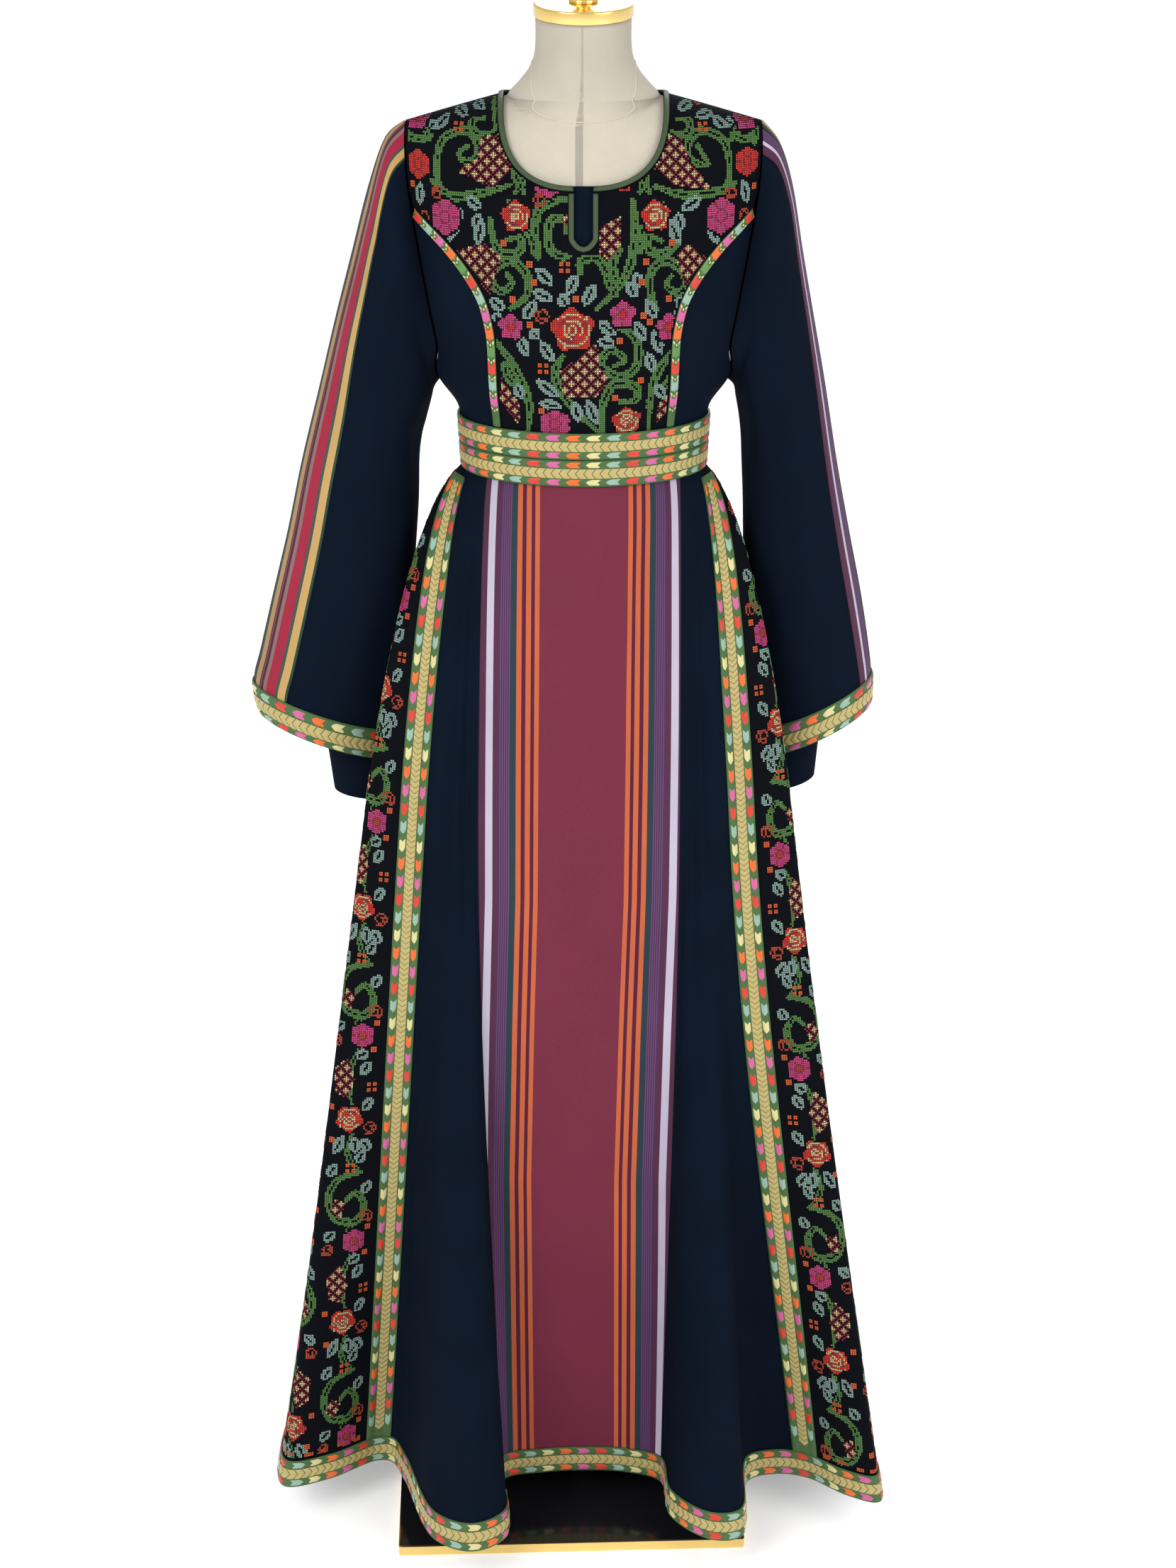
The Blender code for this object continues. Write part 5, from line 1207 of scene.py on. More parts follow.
def finish_of(name):
    """Material by name, made the first time it is asked for."""
    if name in bpy.data.materials:
        return bpy.data.materials[name]
    scene = bpy.context.scene
    cloth, form, stage = scene.thobe_cloth, scene.thobe_form, scene.thobe_stage
    # Each has its colour, roughness, metal, specular level, weave and patches
    plain = {
        "crepe_cloth": (cloth.crepe_colour, 0.90, 0.0, 0.03, (0.0009, 0.55), (0.75, 1.3, 14.0)),
        "embroidery_ground": (cloth.ground_colour, 0.9, 0.0, 0.04, (0.0011, 0.6)),
        "braid_ground": (cloth.braid_colour, 0.5, 0.0, 0.25, (0.0008, 0.5)),
        "binding_satin": (cloth.binding_colour, 0.5, 0.0, 0.25, (0.0008, 0.4)),
        "linen_cloth": (form.linen_colour, 0.92, 0.0, 0.1, (0.0012, 0.8), (0.92, 1.06, 40.0)),
        "polished_brass": (form.brass_colour, 0.22, 1.0, 0.5, None, (0.92, 1.05, 60.0)),
        "brushed_steel": ((0.30, 0.30, 0.31), 0.35, 1.0, 0.5, None),
        "black_lacquer": ((0.010, 0.010, 0.012), 0.10, 0.0, 0.5, None, (0.9, 1.1, 8.0)),
        "studio_paper": (stage.floor_colour, 0.9, 0.0, 0.5, None, (0.99, 1.01, 2.0)),
    }
    if name in plain:
        return plain_finish(name, *plain[name])
    if name == "panel_stripes":
        return striped_finish(name, PANEL_STRIPES, 0.140, True)
    if name == "sleeve_stripes":
        return striped_finish(name, SLEEVE_STRIPES, 0.090, False)
    return thread_finish(name, *{"thread_satin": (0.42, 0.15), "stitch_cotton": (0.72, 0.0)}[name])


CUTS = {}


def place_piece(piece, stands_for=None, cloths=None):
    """Register a piece: the node it stands for, and its cut where it is cloth."""
    if stands_for:
        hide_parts(stands_for)
    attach(piece, "root")
    if cloths:
        area = sum(cloth.area for cloth in cloths)
        width = max(cloth.width for cloth in cloths) * len(cloths)
        length = max(cloth.length for cloth in cloths)
        flat_area = min(area, width * length)
        CUTS[piece.name] = (width, length, flat_area)


def sew(name, cloths, finish, stands_for, rests_on, **wall):
    """Walled cloth of one grid, or of two that meet at the middle."""
    place_piece(shell(name, cloths, finish_of(finish), **wall), stands_for, cloths)


# Settings

def colour_setting(name, description, default):
    return FloatVectorProperty(
        name=name, description=description, subtype="COLOR", size=3, min=0, max=1, default=default)


class ThobeClothSettings(bpy.types.PropertyGroup):
    crepe_colour: colour_setting("Crepe", "Colour of the plain black cloth", (0.0034, 0.0070, 0.0155))
    ground_colour: colour_setting(
        "Embroidery ground", "Colour of the cloth under the stitches", (0.0032, 0.0040, 0.0060))
    braid_colour: colour_setting(
        "Braid ground", "Colour of the braid's satin ground", (0.060, 0.125, 0.040))
    binding_colour: colour_setting("Binding", "Colour of the neck binding", (0.042, 0.068, 0.030))


class ThobeFormSettings(bpy.types.PropertyGroup):
    linen_colour: colour_setting("Linen", "Colour of the dress form's linen", (0.560, 0.515, 0.420))
    brass_colour: colour_setting(
        "Brass", "Colour of the neck cap and the plate's edge", (0.860, 0.620, 0.220))


class ThobeStageSettings(bpy.types.PropertyGroup):
    camera_distance: FloatProperty(
        name="Camera distance", description="From the dress's axis to the camera", default=2.8,
        unit="LENGTH")
    camera_height: FloatProperty(
        name="Camera height", description="Over the floor", default=1.90, unit="LENGTH")
    camera_pitch: FloatProperty(
        name="Camera pitch", description="Downward tilt", default=radians(20.9), subtype="ANGLE")
    floor_colour: colour_setting("Floor", "Colour of the studio floor and backdrop", (0.90, 0.90, 0.90))


# Operators

FACING_HALF, FACING_WALL = 0.0165, 0.0007


class MakeBodice(bpy.types.Operator):
    """Plain side fronts, back and the yoke's ground cloth"""

    bl_idname = "thobe.bodice"
    bl_label = "Bodice"

    def execute(self, context):
        yoke = [patch(side, -1, yoke_inner, yoke_outer, 18, 6, 49) for _, side in SIDES]
        sew("yoke_cloth", yoke, "embroidery_ground", "yoke_front", "form_torso")
        x = np.linspace(-FACING_HALF, FACING_HALF, 17)[None, :]
        z = np.linspace(SLIT_BOTTOM_Z - 0.010, NECK_FRONT_Z + 0.0006, 25)[:, None]
        facing = Cloth(bodice_point(1, -1, *bodice_coordinates(x + 0 * z, z + 0 * x)), 1)
        sew("neck_slit_facing", [facing], "crepe_cloth", None, "yoke_cloth",
            wall=FACING_WALL, lift=-WALL - SMALL_GAP)
        for name, side in SIDES:
            cloth = patch(side, -1, yoke_edge, partial(side_outer, steps=SIDE_ARMHOLE_STEPS), 10, 8, 25)
            node = "bodice_side_front_" + name
            sew("side_front_cloth_" + name, [cloth], "crepe_cloth", node, "form_torso")
        outer = partial(side_outer, steps=BACK_ARMHOLE_STEPS)
        back = [patch(side, 1, back_inner, outer, 15, 6, 45) for _, side in SIDES]
        sew("bodice_back_cloth", back, "crepe_cloth", "bodice_back", "form_torso")
        return {"FINISHED"}


def angle_at(side, position, start, distance):
    """Angles on the sleeve at a distance round it from a start angle, for each position."""
    fine = np.linspace(0, 2.2, 111)
    angles = start[:, None] + fine * (1 if distance > 0 else -1)
    points = sleeve_point(side, angles, position[:, None])
    arc = run_along(points, 1)
    return np.array([np.interp(abs(distance), row, line) for row, line in zip(arc, angles)])


def stripe_span(side, position):
    centre = STRIPE_TURN[side] * np.minimum(1.0, 0.3 + position / 3)
    half = SLEEVE_STRIPE_WIDTH / 2
    return angle_at(side, position, centre, -half), angle_at(side, position, centre, half)


SLEEVE_END = len(SLEEVES[1])


def sleeve_cloths(side, rows=133):
    position = np.linspace(0, SLEEVE_END, rows)
    back, front = stripe_span(side, position)
    surface = sleeve_surface(side)
    stripe_angle = back[:, None] + (front - back)[:, None] * np.linspace(0, 1, 25)
    main_angle = front[:, None] + (2 * pi + back - front)[:, None] * np.linspace(0, 1, 73)
    return [Cloth(surface(angle, position[:, None]), side) for angle in (stripe_angle, main_angle)]


class MakeSleeves(bpy.types.Operator):
    """Flared sleeves with their striped inserts, and the inner sleeves"""

    bl_idname = "thobe.sleeves"
    bl_label = "Sleeves"

    def execute(self, context):
        for name, side in SIDES:
            stripe, main = sleeve_cloths(side)
            sew("sleeve_cloth_" + name, [main], "crepe_cloth", "sleeve_" + name, "bodice_back_cloth")
            if side < 0:
                stripe.across = SLEEVE_STRIPE_WIDTH - stripe.across
            below = "sleeve_cloth_" + name
            sew("sleeve_stripe_cloth_" + name, [stripe], "sleeve_stripes", "sleeve_stripe_" + name, below)
            position = np.linspace(0, 3, 49)
            angle = np.linspace(0, 2 * pi, 65)[:-1]
            tube = tube_point(side, INNER_SLEEVES[side], False, angle[None, :], position[:, None])
            sew("inner_sleeve_cloth_" + name, [Cloth(tube, side)], "crepe_cloth", "inner_sleeve_" + name,
                below, round_about=True)
        return {"FINISHED"}


def place_beside(side, share, distance):
    """Places on the skirt at a distance from the braid line, for each share."""
    fine = np.linspace(0, 1.5, 151)
    places = BRAID_LINE + fine * (1 if distance > 0 else -1)
    points = skirt_point(side, places[None, :], share[:, None])
    arc = run_along(points, 1)
    return np.array([np.interp(abs(distance), row, places) for row in arc])


def skirt_cloth(side, first, last, rows=150, columns=70):
    """Cloth between two lines of the skirt."""
    share = np.concatenate([[WAIST_SHARE], np.linspace(0, 1, rows) ** 1.15])
    place = first + (last - first) * np.linspace(0, 1, columns)
    points = skirt_surface(side)(place[None, :], share[:, None])
    return Cloth(points, -side)


def band_beside(curve, normals, distances, outward):
    """Band that follows a curve on the cloth, its columns at distances beside it."""
    tangent = unit(np.gradient(curve, axis=0))
    beside = unit(np.cross(tangent, normals)) * outward
    points = curve[:, None] + beside[:, None] * np.asarray(distances)[None, :, None]
    return Band(points, np.repeat(normals[:, None], len(distances), axis=1))


def long_braid(side):
    share = np.linspace(0.006, HEM_BRAID_SHARE, 420)
    distances = np.linspace(-BRAID_WIDTH / 2, BRAID_WIDTH / 2, 13)
    places = np.stack([place_beside(side, share, d) for d in distances], axis=1)
    points = skirt_surface(side)(places, share[:, None])
    return Band(points, skirt_normals(side, places, share[:, None]))


def hem_band():
    across = np.linspace(HEM_BRAID_SHARE, 1, 13)
    points, normals = [], []
    for side, place in ((-1, np.linspace(LAST_FOLD, 0, 620)), (1, np.linspace(0, LAST_FOLD, 620)[1:])):
        points.append(skirt_surface(side)(place[:, None], across[None, :]))
        normals.append(skirt_normals(side, place[:, None], across[None, :]))
    return Band(np.concatenate(points), np.concatenate(normals), closed=True)


def belt_band(top, bottom):
    angle = np.linspace(0, 2 * pi, 400)[:, None]
    z = np.linspace(top, bottom, 13)
    half_width, deep_front, deep_back = np.moveaxis(smooth_at(TORSO, z), -1, 0)
    depth = np.where(np.cos(angle) > 0, deep_front, deep_back)
    points = np.stack([half_width * np.sin(angle), -depth * np.cos(angle), z + 0 * angle], axis=-1)
    normals = unit(np.stack([np.sin(angle) / half_width, -np.cos(angle) / depth, 0 * depth], axis=-1))
    return Band(points, normals, closed=True)


def cuff(side):
    angle = np.linspace(0, 2 * pi, 190)[:, None]
    position = np.linspace(SLEEVE_END - 1, SLEEVE_END, 13)[None, :]
    points = sleeve_surface(side)(angle, position)
    normals = normals_of(partial(sleeve_point, side), angle, np.minimum(position, SLEEVE_END - 0.001), side)
    return Band(points, normals, closed=True)


def yoke_trim(side):
    angle, turn = yoke_edge(np.linspace(1, 9.93, 150))
    curve = bodice_surface(side, -1)(angle, turn)
    normals = bodice_normals(side, -1, angle, turn)
    distances = np.linspace(-YOKE_TRIM_WIDTH / 2, YOKE_TRIM_WIDTH / 2, 9)
    return band_beside(curve, normals, distances, 1)


def neck_line(parts):
    """Curve and normals along parts of the neck's edge: (side, face, coordinates)."""
    curves = [bodice_surface(side, face)(*place) for side, face, place in parts]
    normals = [bodice_normals(side, face, *place) for side, face, place in parts]
    return np.concatenate(curves), unit(np.concatenate(normals))


# Height of the braids over the cloth, the belts' height, and the hidden depth of a braid's skin
BRAID_RISE, BELT_RISE, BRAID_DEPTH, TRIM_DEPTH = 0.0016, 0.0030, 0.0004, 0.0005
TRIM_PITCH, TRIM_DYES = 0.018, ("red", "sage", "pink", "orange_thread", "green_thread")


class MakeBraids(bpy.types.Operator):
    """Hem, side and cuff braids, belts, yoke trims and neck bindings, with their threads"""

    bl_idname = "thobe.braids"
    bl_label = "Braids and belts"

    def execute(self, context):
        middle = (BELT_TOP_Z + BELT_BOTTOM_Z) / 2
        broad = (
            ("hem_braid", hem_band(), 1, 0.0082),
            ("side_braid_left", long_braid(-1), 1, 0.0061),
            ("side_braid_right", long_braid(1), 1, 0.0061),
            ("cuff_band_left", cuff(-1), -1, 0.0082),
            ("cuff_band_right", cuff(1), 1, 0.0082),
            ("belt_upper", belt_band(BELT_TOP_Z, middle + SMALL_GAP), -1, 0.0082),
            ("belt_lower", belt_band(middle - SMALL_GAP, BELT_BOTTOM_Z), -1, 0.0082),
        )
        for name, band, direction, pitch in broad:
            lift, start = (BELT_RISE, -0.006) if "belt" in name else (BRAID_RISE, 0.0)
            satin = finish_of("braid_ground")
            piece = band.base(name + "_satin", satin, lift - BRAID_DEPTH, lift, three_ridges)
            place_piece(piece, name, [band])
            margin = 0.0 if band.closed else 0.010
            thread_piece(name + "_threads", [
                chevrons(band, lift, 0.5, 0.36, direction, pitch, gap=margin),
                dashes(band, lift, ((1 / 6, 0.22), (5 / 6, 0.22)), direction, start, gap=margin)])
        rise = BRAID_RISE
        for name, side in SIDES:
            band = yoke_trim(side)
            piece = band.base("yoke_trim_satin_" + name, satin, rise - TRIM_DEPTH, rise, one_ridge)
            place_piece(piece, "yoke_trim_" + name)
            thread_piece("yoke_trim_threads_" + name, [
                dashes(band, rise, ((0.5, 0.92),), -1, 0.0, 0.003, TRIM_PITCH, 0.0125, TRIM_DYES),
                dashes(band, rise - 0.0002, ((0.5, 0.96),), -1, 0.0, 0.0175, TRIM_PITCH, 0.003, ["cream"])])
        up, down = np.linspace(0, 1, 90), np.linspace(1, 0, 90)
        curve, normals = neck_line((
            (-1, -1, neckline_coordinates(up)), (-1, 1, back_neckline_coordinates(down[1:])),
            (1, 1, back_neckline_coordinates(up[1:])), (1, -1, neckline_coordinates(down[1:]))))
        z = np.concatenate([
            np.linspace(1.4905, SLIT_BOTTOM_Z + SLIT_ROUND, 24),
            np.linspace(SLIT_BOTTOM_Z + SLIT_ROUND - 0.0005, SLIT_BOTTOM_Z, 8)])
        x = np.minimum(SLIT_HALF, SLIT_HALF * np.sqrt(np.maximum((z - SLIT_BOTTOM_Z) / SLIT_ROUND, 0)))
        slit, slit_normals = neck_line((
            (-1, -1, bodice_coordinates(x, z)), (1, -1, bodice_coordinates(x[::-1][1:], z[::-1][1:]))))
        distances = np.linspace(0, BINDING_WIDTH, 7)
        for name, line, facing, outward in (
                ("neck_binding", curve, normals, -1), ("neck_slit_binding", slit, slit_normals, 1)):
            band = band_beside(line, facing, distances, outward)
            place_piece(band.base(name + "_satin", finish_of("binding_satin"), rise, rise, one_ridge), name)
        return {"FINISHED"}


class MakeEmbroidery(bpy.types.Operator):
    """Counted cross-stitch of the yoke and both side panels"""

    bl_idname = "thobe.embroidery"
    bl_label = "Embroidery"

    def execute(self, context):
        out, up, x, z = yoke_net()
        chart = Chart(np.concatenate([-out[::-1], out]), up)
        chart.across -= YOKE_CENTRE_SHIFT
        chart.draw(YOKE_MOTIFS)
        parts = []
        for side in (-1, 1):
            half = chart.thread[:, :len(out)][:, ::-1] if side < 0 else chart.thread[:, len(out):]
            with np.errstate(invalid="ignore"):
                used = (half > 0) & ~np.isnan(x)
            used[used] = inside_yoke(x[used], z[used])
            used[used] = inside_yoke(x[used], z[used])
            angle, turn = bodice_coordinates(x[used], z[used])
            beside, level = bodice_coordinates(x[used] + 0.0005, z[used])
            surface = bodice_surface(side, -1)
            points = surface(angle, turn)
            sideways = unit(surface(beside, level) - points)
            parts.append((points, bodice_normals(side, -1, angle, turn), sideways, half[used]))
        stitch_piece("yoke_stitches", *[np.concatenate(part) for part in zip(*parts)])
        for name, side in SIDES:
            out, rows, place, share = side_net(side)
            chart = Chart(out - out[0], rows)
            for column in range(6):
                odd = column % 2
                start = SIDE_START[side] + odd * SIDE_REPEAT // 2
                for repeat in range(-1, 6):
                    down = start + repeat * SIDE_REPEAT
                    chart.draw(SIDE_MOTIFS, (column + odd) * SIDE_COLUMN, down, 1 - 2 * odd)
            surface = skirt_surface(side)
            for half, columns in (("front", out < SIDE_MIDDLE), ("rear", out >= SIDE_MIDDLE)):
                used = (chart.thread > 0) & ~np.isnan(place) & columns[None, :]
                there, level = place[used], share[used]
                points = surface(there, level)
                sideways = unit(surface(there + 0.01, level) - points)
                label = "side_stitches_" + half + "_" + name
                stitch_piece(label, points, skirt_normals(side, there, level), sideways, chart.thread[used])
        return {"FINISHED"}


# Heights down the centre panel, and how far its stripes lie aside there
STRIPE_DRIFT = ((0.05, 0.42, 0.60, 0.75, 1.16), (-0.0116, -0.0125, -0.0080, -0.0033, 0.0007))


class MakeSkirt(bpy.types.Operator):
    """Six panels of the skirt"""

    bl_idname = "thobe.skirt"
    bl_label = "Skirt panels"

    def execute(self, context):
        centre = [skirt_cloth(side, 0.0, PANEL_EDGE, columns=50) for _, side in SIDES]
        # The striped cloth is cut a little aslant, so its stripes drift to one side down the panel
        for cloth, (_, side) in zip(centre, SIDES):
            cloth.across = side * cloth.across - np.interp(cloth.points[..., 2], *STRIPE_DRIFT)
        sew("centre_panel_cloth", centre, "panel_stripes", "skirt_centre_panel", "belt_lower")
        for name, side in SIDES:
            front = skirt_cloth(side, PANEL_EDGE, BRAID_LINE)
            sew("front_panel_cloth_" + name, [front], "crepe_cloth", "skirt_front_" + name, "belt_lower")
            flank = skirt_cloth(side, BRAID_LINE, SIDE_BACK)
            node = "skirt_side_" + name
            sew("side_panel_cloth_" + name, [flank], "embroidery_ground", node, "belt_lower")
        back = [skirt_cloth(side, SIDE_BACK, LAST_FOLD, columns=90) for _, side in SIDES]
        sew("skirt_back_cloth", back, "crepe_cloth", "skirt_back", "belt_lower")
        return {"FINISHED"}


def shoulder_reach(z):
    span = np.maximum(SHOULDER_PEAK_Z - WALL - FORM_CLEARANCE - z, 0) / SHOULDER_SLOPE
    return np.sqrt(np.maximum(span * span - SHOULDER_ROUND ** 2, 0))


FORM_END_X = 0.166
FORM_LEVELS = (
    0.860, 0.900, 0.960, 1.020, 1.080, 1.140, 1.185, 1.222, 1.260, 1.292, 1.330, 1.370, 1.410, 1.450,
    1.485, 1.510, 1.530, 1.545, 1.556, 1.5655, 1.5712, 1.5742, 1.581, 1.59, 1.602, 1.62, NECK_TOP_Z)


def form_ring(z, count=128):
    """One level ring of the dress form."""
    angle = 2 * pi * np.arange(count) / count
    clearance = WALL + FORM_CLEARANCE
    neck = smooth_at(NECK, max(z, NECK[0][0]))
    front = np.cos(angle) > 0
    if z < 1.28:
        half_width, deep_front, deep_back = smooth_at(FORM, z)
        x = half_width * np.sin(angle)
        y = -np.where(front, deep_front, deep_back) * np.cos(angle)
        return np.stack([x, y, np.full(count, z)], axis=-1)
    torso = smooth_at(TORSO, z)
    end = min(FORM_END_X, torso[0] - 2 * clearance - 0.012 * (z < 1.4))
    half_width = max(min(end, float(shoulder_reach(z))), neck[0] if z > 1.57 else 0.0)
    x = half_width * np.sin(angle)
    reach = np.minimum(np.abs(x), half_width * 0.9999)
    drop = shoulder_z(reach) - clearance - z
    turn = turn_from_drop(np.maximum(drop, 0))
    body = np.where(front, torso[1], torso[2]) * np.sqrt(np.maximum(1 - (reach / torso[0]) ** 2, 0))
    body = body * np.sin(np.minimum(turn, pi / 2)) * (drop > 0)
    body = np.maximum(body - clearance, body / 2) * np.sqrt(np.maximum(1 - (reach / end) ** 8, 0))
    collar = np.where(front, neck[1], neck[2]) * np.sqrt(np.maximum(1 - (reach / neck[0]) ** 2, 0))
    depth = np.maximum(body, collar * (z > NECK[0][0]))
    y = np.where(front, -1, 1) * depth
    y[np.abs(np.cos(angle)) < 1e-6] = 0.0
    height = z + NECK_TILT * y * (z == NECK_TOP_Z)
    return np.stack([x, y, height + np.zeros(count)], axis=-1)


def seam_ridge(name, curve, outward, radius, closed):
    """Thin rounded ridge along a seam of the form's linen."""
    if closed:
        along = unit(np.roll(curve, -1, axis=0) - np.roll(curve, 1, axis=0))
    else:
        along = unit(np.gradient(curve, axis=0))
    beside = unit(np.cross(along, outward))
    turn = 2 * pi * np.arange(8) / 8
    ring = np.cos(turn)[None, :, None] * outward[:, None] + np.sin(turn)[None, :, None] * beside[:, None]
    points = (curve + outward * radius * 0.3)[:, None] + ring * radius
    count = len(curve)
    rows = np.arange(count if closed else count - 1)[:, None]
    columns = np.arange(8)[None, :]
    after, over = (rows + 1) % count, (columns + 1) % 8
    corners = [rows * 8 + columns, rows * 8 + over, after * 8 + over, after * 8 + columns]
    faces = np.stack(corners, axis=-1).reshape(-1, 4)
    if not closed:
        low = np.array([[0, 1, 2, 3], [0, 3, 4, 7], [4, 5, 6, 7]])
        faces = np.concatenate([faces, low[:, ::-1], low + (count - 1) * 8])
    points = points.reshape(-1, 3)
    a, b, c = points[faces[0][:3]]
    if np.dot(np.cross(b - a, c - b), a - curve[0]) < 0:
        faces = faces[:, ::-1]
    place_piece(build_mesh(name, points, faces, finish_of("linen_cloth")))


class MakeForm(bpy.types.Operator):
    """Linen-covered torso and neck of the dress form, with its seams"""

    bl_idname = "thobe.form"
    bl_label = "Dress form"

    def execute(self, context):
        levels = np.array(FORM_LEVELS)
        quarters = [levels[:-1] + np.diff(levels) * f for f in (0.25, 0.5, 0.75)]
        fine = np.unique(np.concatenate([levels] + quarters))
        rings = np.array([form_ring(float(z)) for z in fine])
        rings[-1] = form_ring(NECK_TOP_Z)
        count = rings.shape[1]
        points = rings.reshape(-1, 3)
        index = np.arange(len(points)).reshape(rings.shape[:2])
        quads = quads_of(np.concatenate([index, index[:, :1]], axis=1))
        around = np.linspace(0, 0.6, count)
        uv = np.stack([np.tile(around, len(rings)), np.repeat(fine, count)], axis=-1)
        piece = build_mesh("form_linen", points, quads, finish_of("linen_cloth"), uv)
        mesh = bmesh.new()
        mesh.from_mesh(piece.data)
        mesh.verts.ensure_lookup_table()
        mesh.faces.new([mesh.verts[i] for i in range(count)][::-1])
        mesh.faces.new([mesh.verts[i] for i in range(len(points) - count, len(points))])
        bmesh.ops.recalc_face_normals(mesh, faces=mesh.faces[:])
        mesh.to_mesh(piece.data)
        mesh.free()
        place_piece(piece, "form_torso")

        # Seam round the root of the neck, and the front seam below it
        angle = 2 * pi * np.arange(count) / count
        rise = np.where(np.cos(angle) > 0, 0.052 * np.sin(angle) ** 2, 0.052 + 0.008 * np.cos(angle) ** 2)
        curve = np.array([form_ring(float(z))[k] for k, z in enumerate(1.555 + rise)])
        seam_ridge("form_neck_seam", curve, unit(curve * np.array([1.0, 1.0, 0.0])), 0.0006, True)
        curve = np.array([form_ring(float(z))[0] for z in np.linspace(1.5535, 1.470, 40)])
        seam_ridge("form_front_seam", curve, np.array([[0.0, -1.0, 0.0]] * len(curve)), 0.0005, False)
        return {"FINISHED"}


def face_up(face):
    return face.normal.z > 0.9


def face_down(face):
    return face.normal.z < -0.9


def select_where(thing, test, kind="FACE"):
    """In edit mode, select the faces or edges that pass a test."""
    mesh = bmesh.from_edit_mesh(thing.data)
    bpy.context.tool_settings.mesh_select_mode = (False, kind == "EDGE", kind == "FACE")
    for part in (*mesh.faces, *mesh.edges, *mesh.verts):
        part.select = False
    for part in mesh.faces if kind == "FACE" else mesh.edges:
        if test(part):
            part.select_set(True)
    mesh.select_flush_mode()
    bmesh.update_edit_mesh(thing.data)


def start_piece(add, name, scale=None, **options):
    """Add a primitive with everything else deselected, at a size, and open it for editing."""
    bpy.ops.object.select_all(action="DESELECT")
    add(**options)
    thing = bpy.context.object
    thing.name = thing.data.name = name
    if scale:
        thing.scale = scale
        bpy.ops.object.transform_apply(location=True, rotation=True, scale=True)
    bpy.ops.object.mode_set(mode="EDIT")
    return thing


def raise_faces(height):
    bpy.ops.mesh.extrude_region_move(TRANSFORM_OT_translate={"value": (0, 0, height)})


def settle(thing, finish, turned=None, smooth_deg=35.0):
    """Leave edit mode, turn and place the piece, apply that, shade it and give the finish."""
    bpy.ops.object.mode_set(mode="OBJECT")
    if turned:
        thing.matrix_world = turned
    bpy.ops.object.select_all(action="DESELECT")
    thing.select_set(True)
    bpy.context.view_layer.objects.active = thing
    bpy.ops.object.transform_apply(location=True, rotation=True, scale=True)
    bpy.ops.object.shade_smooth_by_angle(angle=radians(smooth_deg))
    thing.data.materials.clear()
    thing.data.materials.append(finish_of(finish))
    return thing


class MakeNeckCap(bpy.types.Operator):
    """Brass neck cap and its knob"""

    bl_idname = "thobe.neck_cap"
    bl_label = "Neck cap"

    def execute(self, context):
        lean = Matrix.Rotation(atan2(NECK_TILT, 1.0), 4, "X")
        lean = Matrix.Translation((0, 0, NECK_TOP_Z + SMALL_GAP)) @ lean
        thing = start_piece(
            bpy.ops.mesh.primitive_cylinder_add, "neck_cap_brass", (CAP_HALF_WIDTH, CAP_HALF_DEPTH, 1.0),
            vertices=96, radius=1.0, depth=CAP_HEIGHT, location=(0, 0, CAP_HEIGHT / 2))
        select_where(thing, face_up)
        bpy.ops.mesh.inset(thickness=0.0025, depth=0.0006)
        select_where(
            thing, lambda edge: all(vert.co.z > CAP_HEIGHT * 0.95 for vert in edge.verts)
            and all(len(face.verts) <= 4 for face in edge.link_faces)
            and abs(edge.link_faces[0].normal.z - edge.link_faces[1].normal.z) > 0.5, "EDGE")
        bpy.ops.mesh.bevel(offset=0.0012, segments=3)
        select_where(thing, lambda edge: all(vert.co.z < CAP_HEIGHT * 0.05 for vert in edge.verts), "EDGE")
        bpy.ops.mesh.bevel(offset=0.0006, segments=2)
        place_piece(settle(thing, "polished_brass", lean), "neck_cap")

        radius, height = KNOB_PROFILE[1]
        thing = start_piece(
            bpy.ops.mesh.primitive_cylinder_add, "cap_knob_brass", (1, 1, 1),
            vertices=48, radius=radius, depth=height, location=(0, 0, height / 2))
        select_where(thing, face_up)
        for next_radius, next_height in KNOB_PROFILE[2:]:
            raise_faces(next_height - height)
            factor = next_radius / radius
            bpy.ops.transform.resize(value=(factor, factor, 1.0))
            radius, height = next_radius, next_height
        bpy.ops.mesh.inset(thickness=0.004, depth=0.0012)
        bpy.ops.object.mode_set(mode="OBJECT")
        bevel = thing.modifiers.new("edges", "BEVEL")
        bevel.width, bevel.segments, bevel.limit_method, bevel.angle_limit = 0.0015, 3, "ANGLE", radians(20)
        bpy.ops.object.modifier_apply(modifier=bevel.name)
        turned = lean @ Matrix.Translation((0, 0, CAP_HEIGHT + SMALL_GAP))
        place_piece(settle(thing, "polished_brass", turned), "cap_knob")
        return {"FINISHED"}


PLATE_LIP, PLATE_SKIN = 0.0016, 0.0008


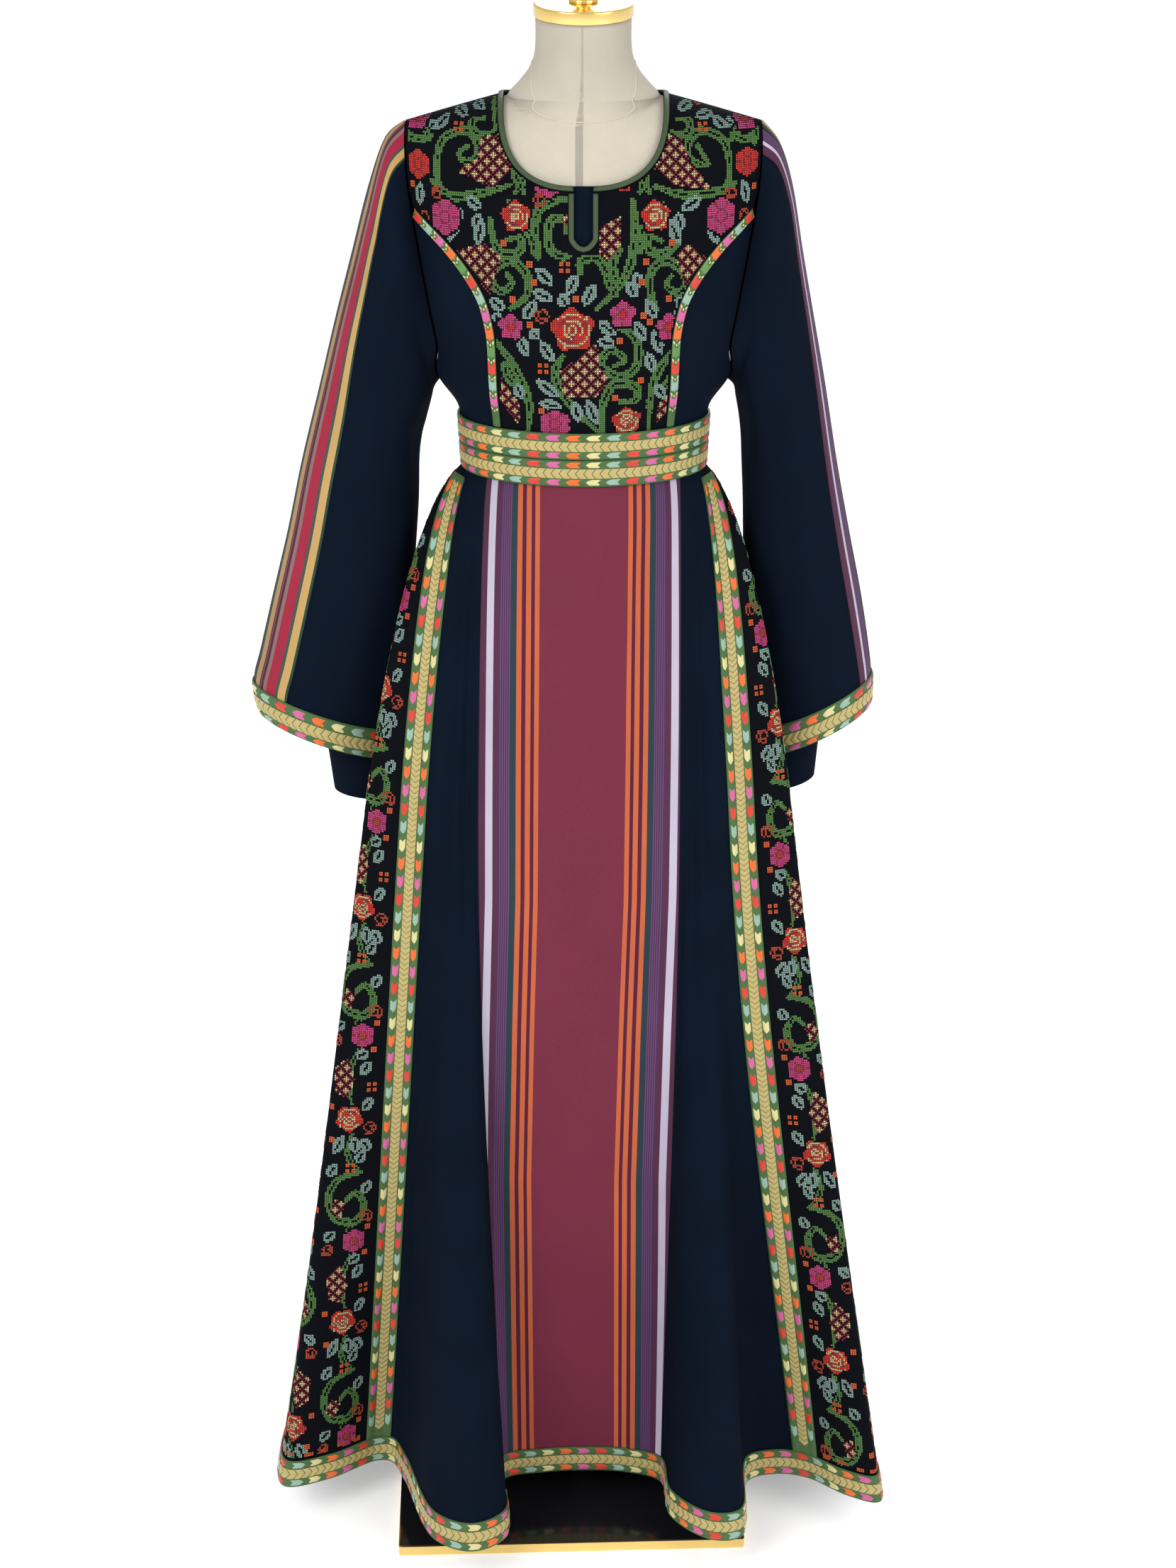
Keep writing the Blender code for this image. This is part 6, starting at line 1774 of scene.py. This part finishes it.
class MakeStand(bpy.types.Operator):
    """Steel pole and lacquered base plate with its brass edge"""

    bl_idname = "thobe.stand"
    bl_label = "Stand"

    def execute(self, context):
        bottom, top = PLATE_TOP_Z + SMALL_GAP, FORM_BOTTOM_Z - SMALL_GAP
        thing = start_piece(
            bpy.ops.mesh.primitive_cylinder_add, "stand_pole_steel",
            vertices=48, radius=POLE_RADIUS, depth=top - bottom, location=(0, 0, (top + bottom) / 2))
        select_where(thing, face_down)
        raise_faces(0.003)
        place_piece(settle(thing, "brushed_steel"), "stand_pole")

        centre = (PLATE_CENTRE_X, PLATE_FRONT_Y + PLATE_DEPTH / 2, PLATE_TOP_Z / 2)
        half = PLATE_TOP_Z / 2
        for name, finish, stands_for, shrink, low, high in (
                ("base_plate_brass", "polished_brass", None, 0.0, -half, half - PLATE_SKIN),
                ("base_plate_lacquer", "black_lacquer", "stand_base", PLATE_LIP, half - PLATE_SKIN, half)):
            thing = start_piece(
                bpy.ops.mesh.primitive_cube_add, name,
                (PLATE_WIDTH - 2 * shrink, PLATE_DEPTH - 2 * shrink, high - low), size=1.0)
            select_where(thing, lambda edge: abs(edge.verts[0].co.z - edge.verts[1].co.z) > 1e-4, "EDGE")
            bpy.ops.mesh.bevel(offset=0.004, segments=5)
            select_where(thing, face_up)
            bpy.ops.mesh.inset(thickness=0.001, depth=0.0)
            turned = (
                Matrix.Translation(centre) @ Matrix.Rotation(PLATE_YAW, 4, "Z")
                @ Matrix.Translation((0, 0, (low + high) / 2)))
            place_piece(settle(thing, finish, turned), stands_for)
        return {"FINISHED"}


WHITE = (1.0, 1.0, 1.0, 1.0)
LIGHTS = (
    ("key_light", (-2.4, -3.2, 3.4), 108.0, 2.2),
    ("fill_light", (2.8, -2.6, 2.6), 66.0, 2.4),
    ("rear_light", (0.6, 3.2, 3.2), 60.0, 2.4),
)
LIGHTS_AIM = Vector((0, 0, 0.95))
# The photo's focal length and height in pixels, and the camera's place across
PHOTO_FOCAL, PHOTO_HEIGHT, CAMERA_X, SENSOR_WIDTH = 3824.0, 2212.0, 0.0045, 36.0


class MakeStage(bpy.types.Operator):
    """Pale floor and backdrop, soft studio lights and the camera"""

    bl_idname = "thobe.stage"
    bl_label = "Stage"

    def execute(self, context):
        scene, stage = context.scene, context.scene.thobe_stage
        floor = settle(
            start_piece(bpy.ops.mesh.primitive_plane_add, "studio_floor", size=60.0, location=(0, 0, 0)),
            "studio_paper")
        shader = floor.data.materials[0].node_tree.nodes["Principled BSDF"]
        shader.inputs["Emission Color"].default_value = WHITE
        shader.inputs["Emission Strength"].default_value = 0.34

        world = bpy.data.worlds.new("studio")
        scene.world = world
        world.use_nodes = True
        sky = Nodes(world.node_tree)
        background = sky.give(sky.tree.nodes["Background"], Color=WHITE, Strength=0.74)
        # The camera sees the backdrop as plain white
        seen = sky.add("Background", Color=WHITE, Strength=1.0)
        blend = sky.add("MixShader")
        path = sky.add("LightPath").outputs["Is Camera Ray"]
        for place, socket in enumerate((path, background.outputs[0], seen.outputs[0])):
            sky.join(socket, blend.inputs[place])
        sky.give(sky.tree.nodes["World Output"], Surface=blend.outputs[0])
        for name, place, power, size in LIGHTS:
            bpy.ops.object.light_add(type="AREA", location=place)
            light = context.object
            light.name, light.data.energy, light.data.size = name, power, size
            light.rotation_euler = (LIGHTS_AIM - Vector(place)).to_track_quat("-Z", "Y").to_euler()
        bpy.ops.object.camera_add(
            location=(CAMERA_X, -stage.camera_distance, stage.camera_height),
            rotation=(pi / 2 - stage.camera_pitch, 0, 0))
        camera = context.object
        camera.name = "photo_camera"
        camera.data.sensor_width = SENSOR_WIDTH
        camera.data.lens = PHOTO_FOCAL / PHOTO_HEIGHT * SENSOR_WIDTH
        camera.data.clip_end = 60.0
        scene.camera = camera
        scene.view_settings.view_transform = "Standard"
        return {"FINISHED"}


class ThobePanel(bpy.types.Panel):
    """Pieces of the dress, in the sidebar of the 3D view"""

    bl_idname = "VIEW3D_PT_thobe"
    bl_label = "Thobe"
    bl_space_type = "VIEW_3D"
    bl_region_type = "UI"
    bl_category = "Thobe"

    def draw(self, context):
        layout = self.layout
        for group in (context.scene.thobe_cloth, context.scene.thobe_form, context.scene.thobe_stage):
            for name in group.__annotations__:
                layout.prop(group, name)
        for operator in OPERATORS:
            layout.operator(operator.bl_idname)


# In the order in which they are called
OPERATORS = (
    MakeStage, MakeForm, MakeNeckCap, MakeStand, MakeBodice, MakeSleeves, MakeSkirt, MakeBraids,
    MakeEmbroidery,
)
SETTINGS = (
    ("thobe_cloth", ThobeClothSettings),
    ("thobe_form", ThobeFormSettings),
    ("thobe_stage", ThobeStageSettings),
)


def register():
    for name, group in SETTINGS:
        bpy.utils.register_class(group)
        setattr(bpy.types.Scene, name, PointerProperty(type=group))
    for operator in OPERATORS:
        bpy.utils.register_class(operator)
    bpy.utils.register_class(ThobePanel)


def unregister():
    bpy.utils.unregister_class(ThobePanel)
    for operator in reversed(OPERATORS):
        bpy.utils.unregister_class(operator)
    for name, group in reversed(SETTINGS):
        delattr(bpy.types.Scene, name)
        bpy.utils.unregister_class(group)


def main():
    register()
    for operator in OPERATORS:
        getattr(bpy.ops.thobe, operator.bl_idname.split(".")[1])()
    for name, (width, length, area) in CUTS.items():
        print("cut", name, round(width, 3), round(length, 3), round(area, 4))
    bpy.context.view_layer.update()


if __name__ == "__main__":
    main()
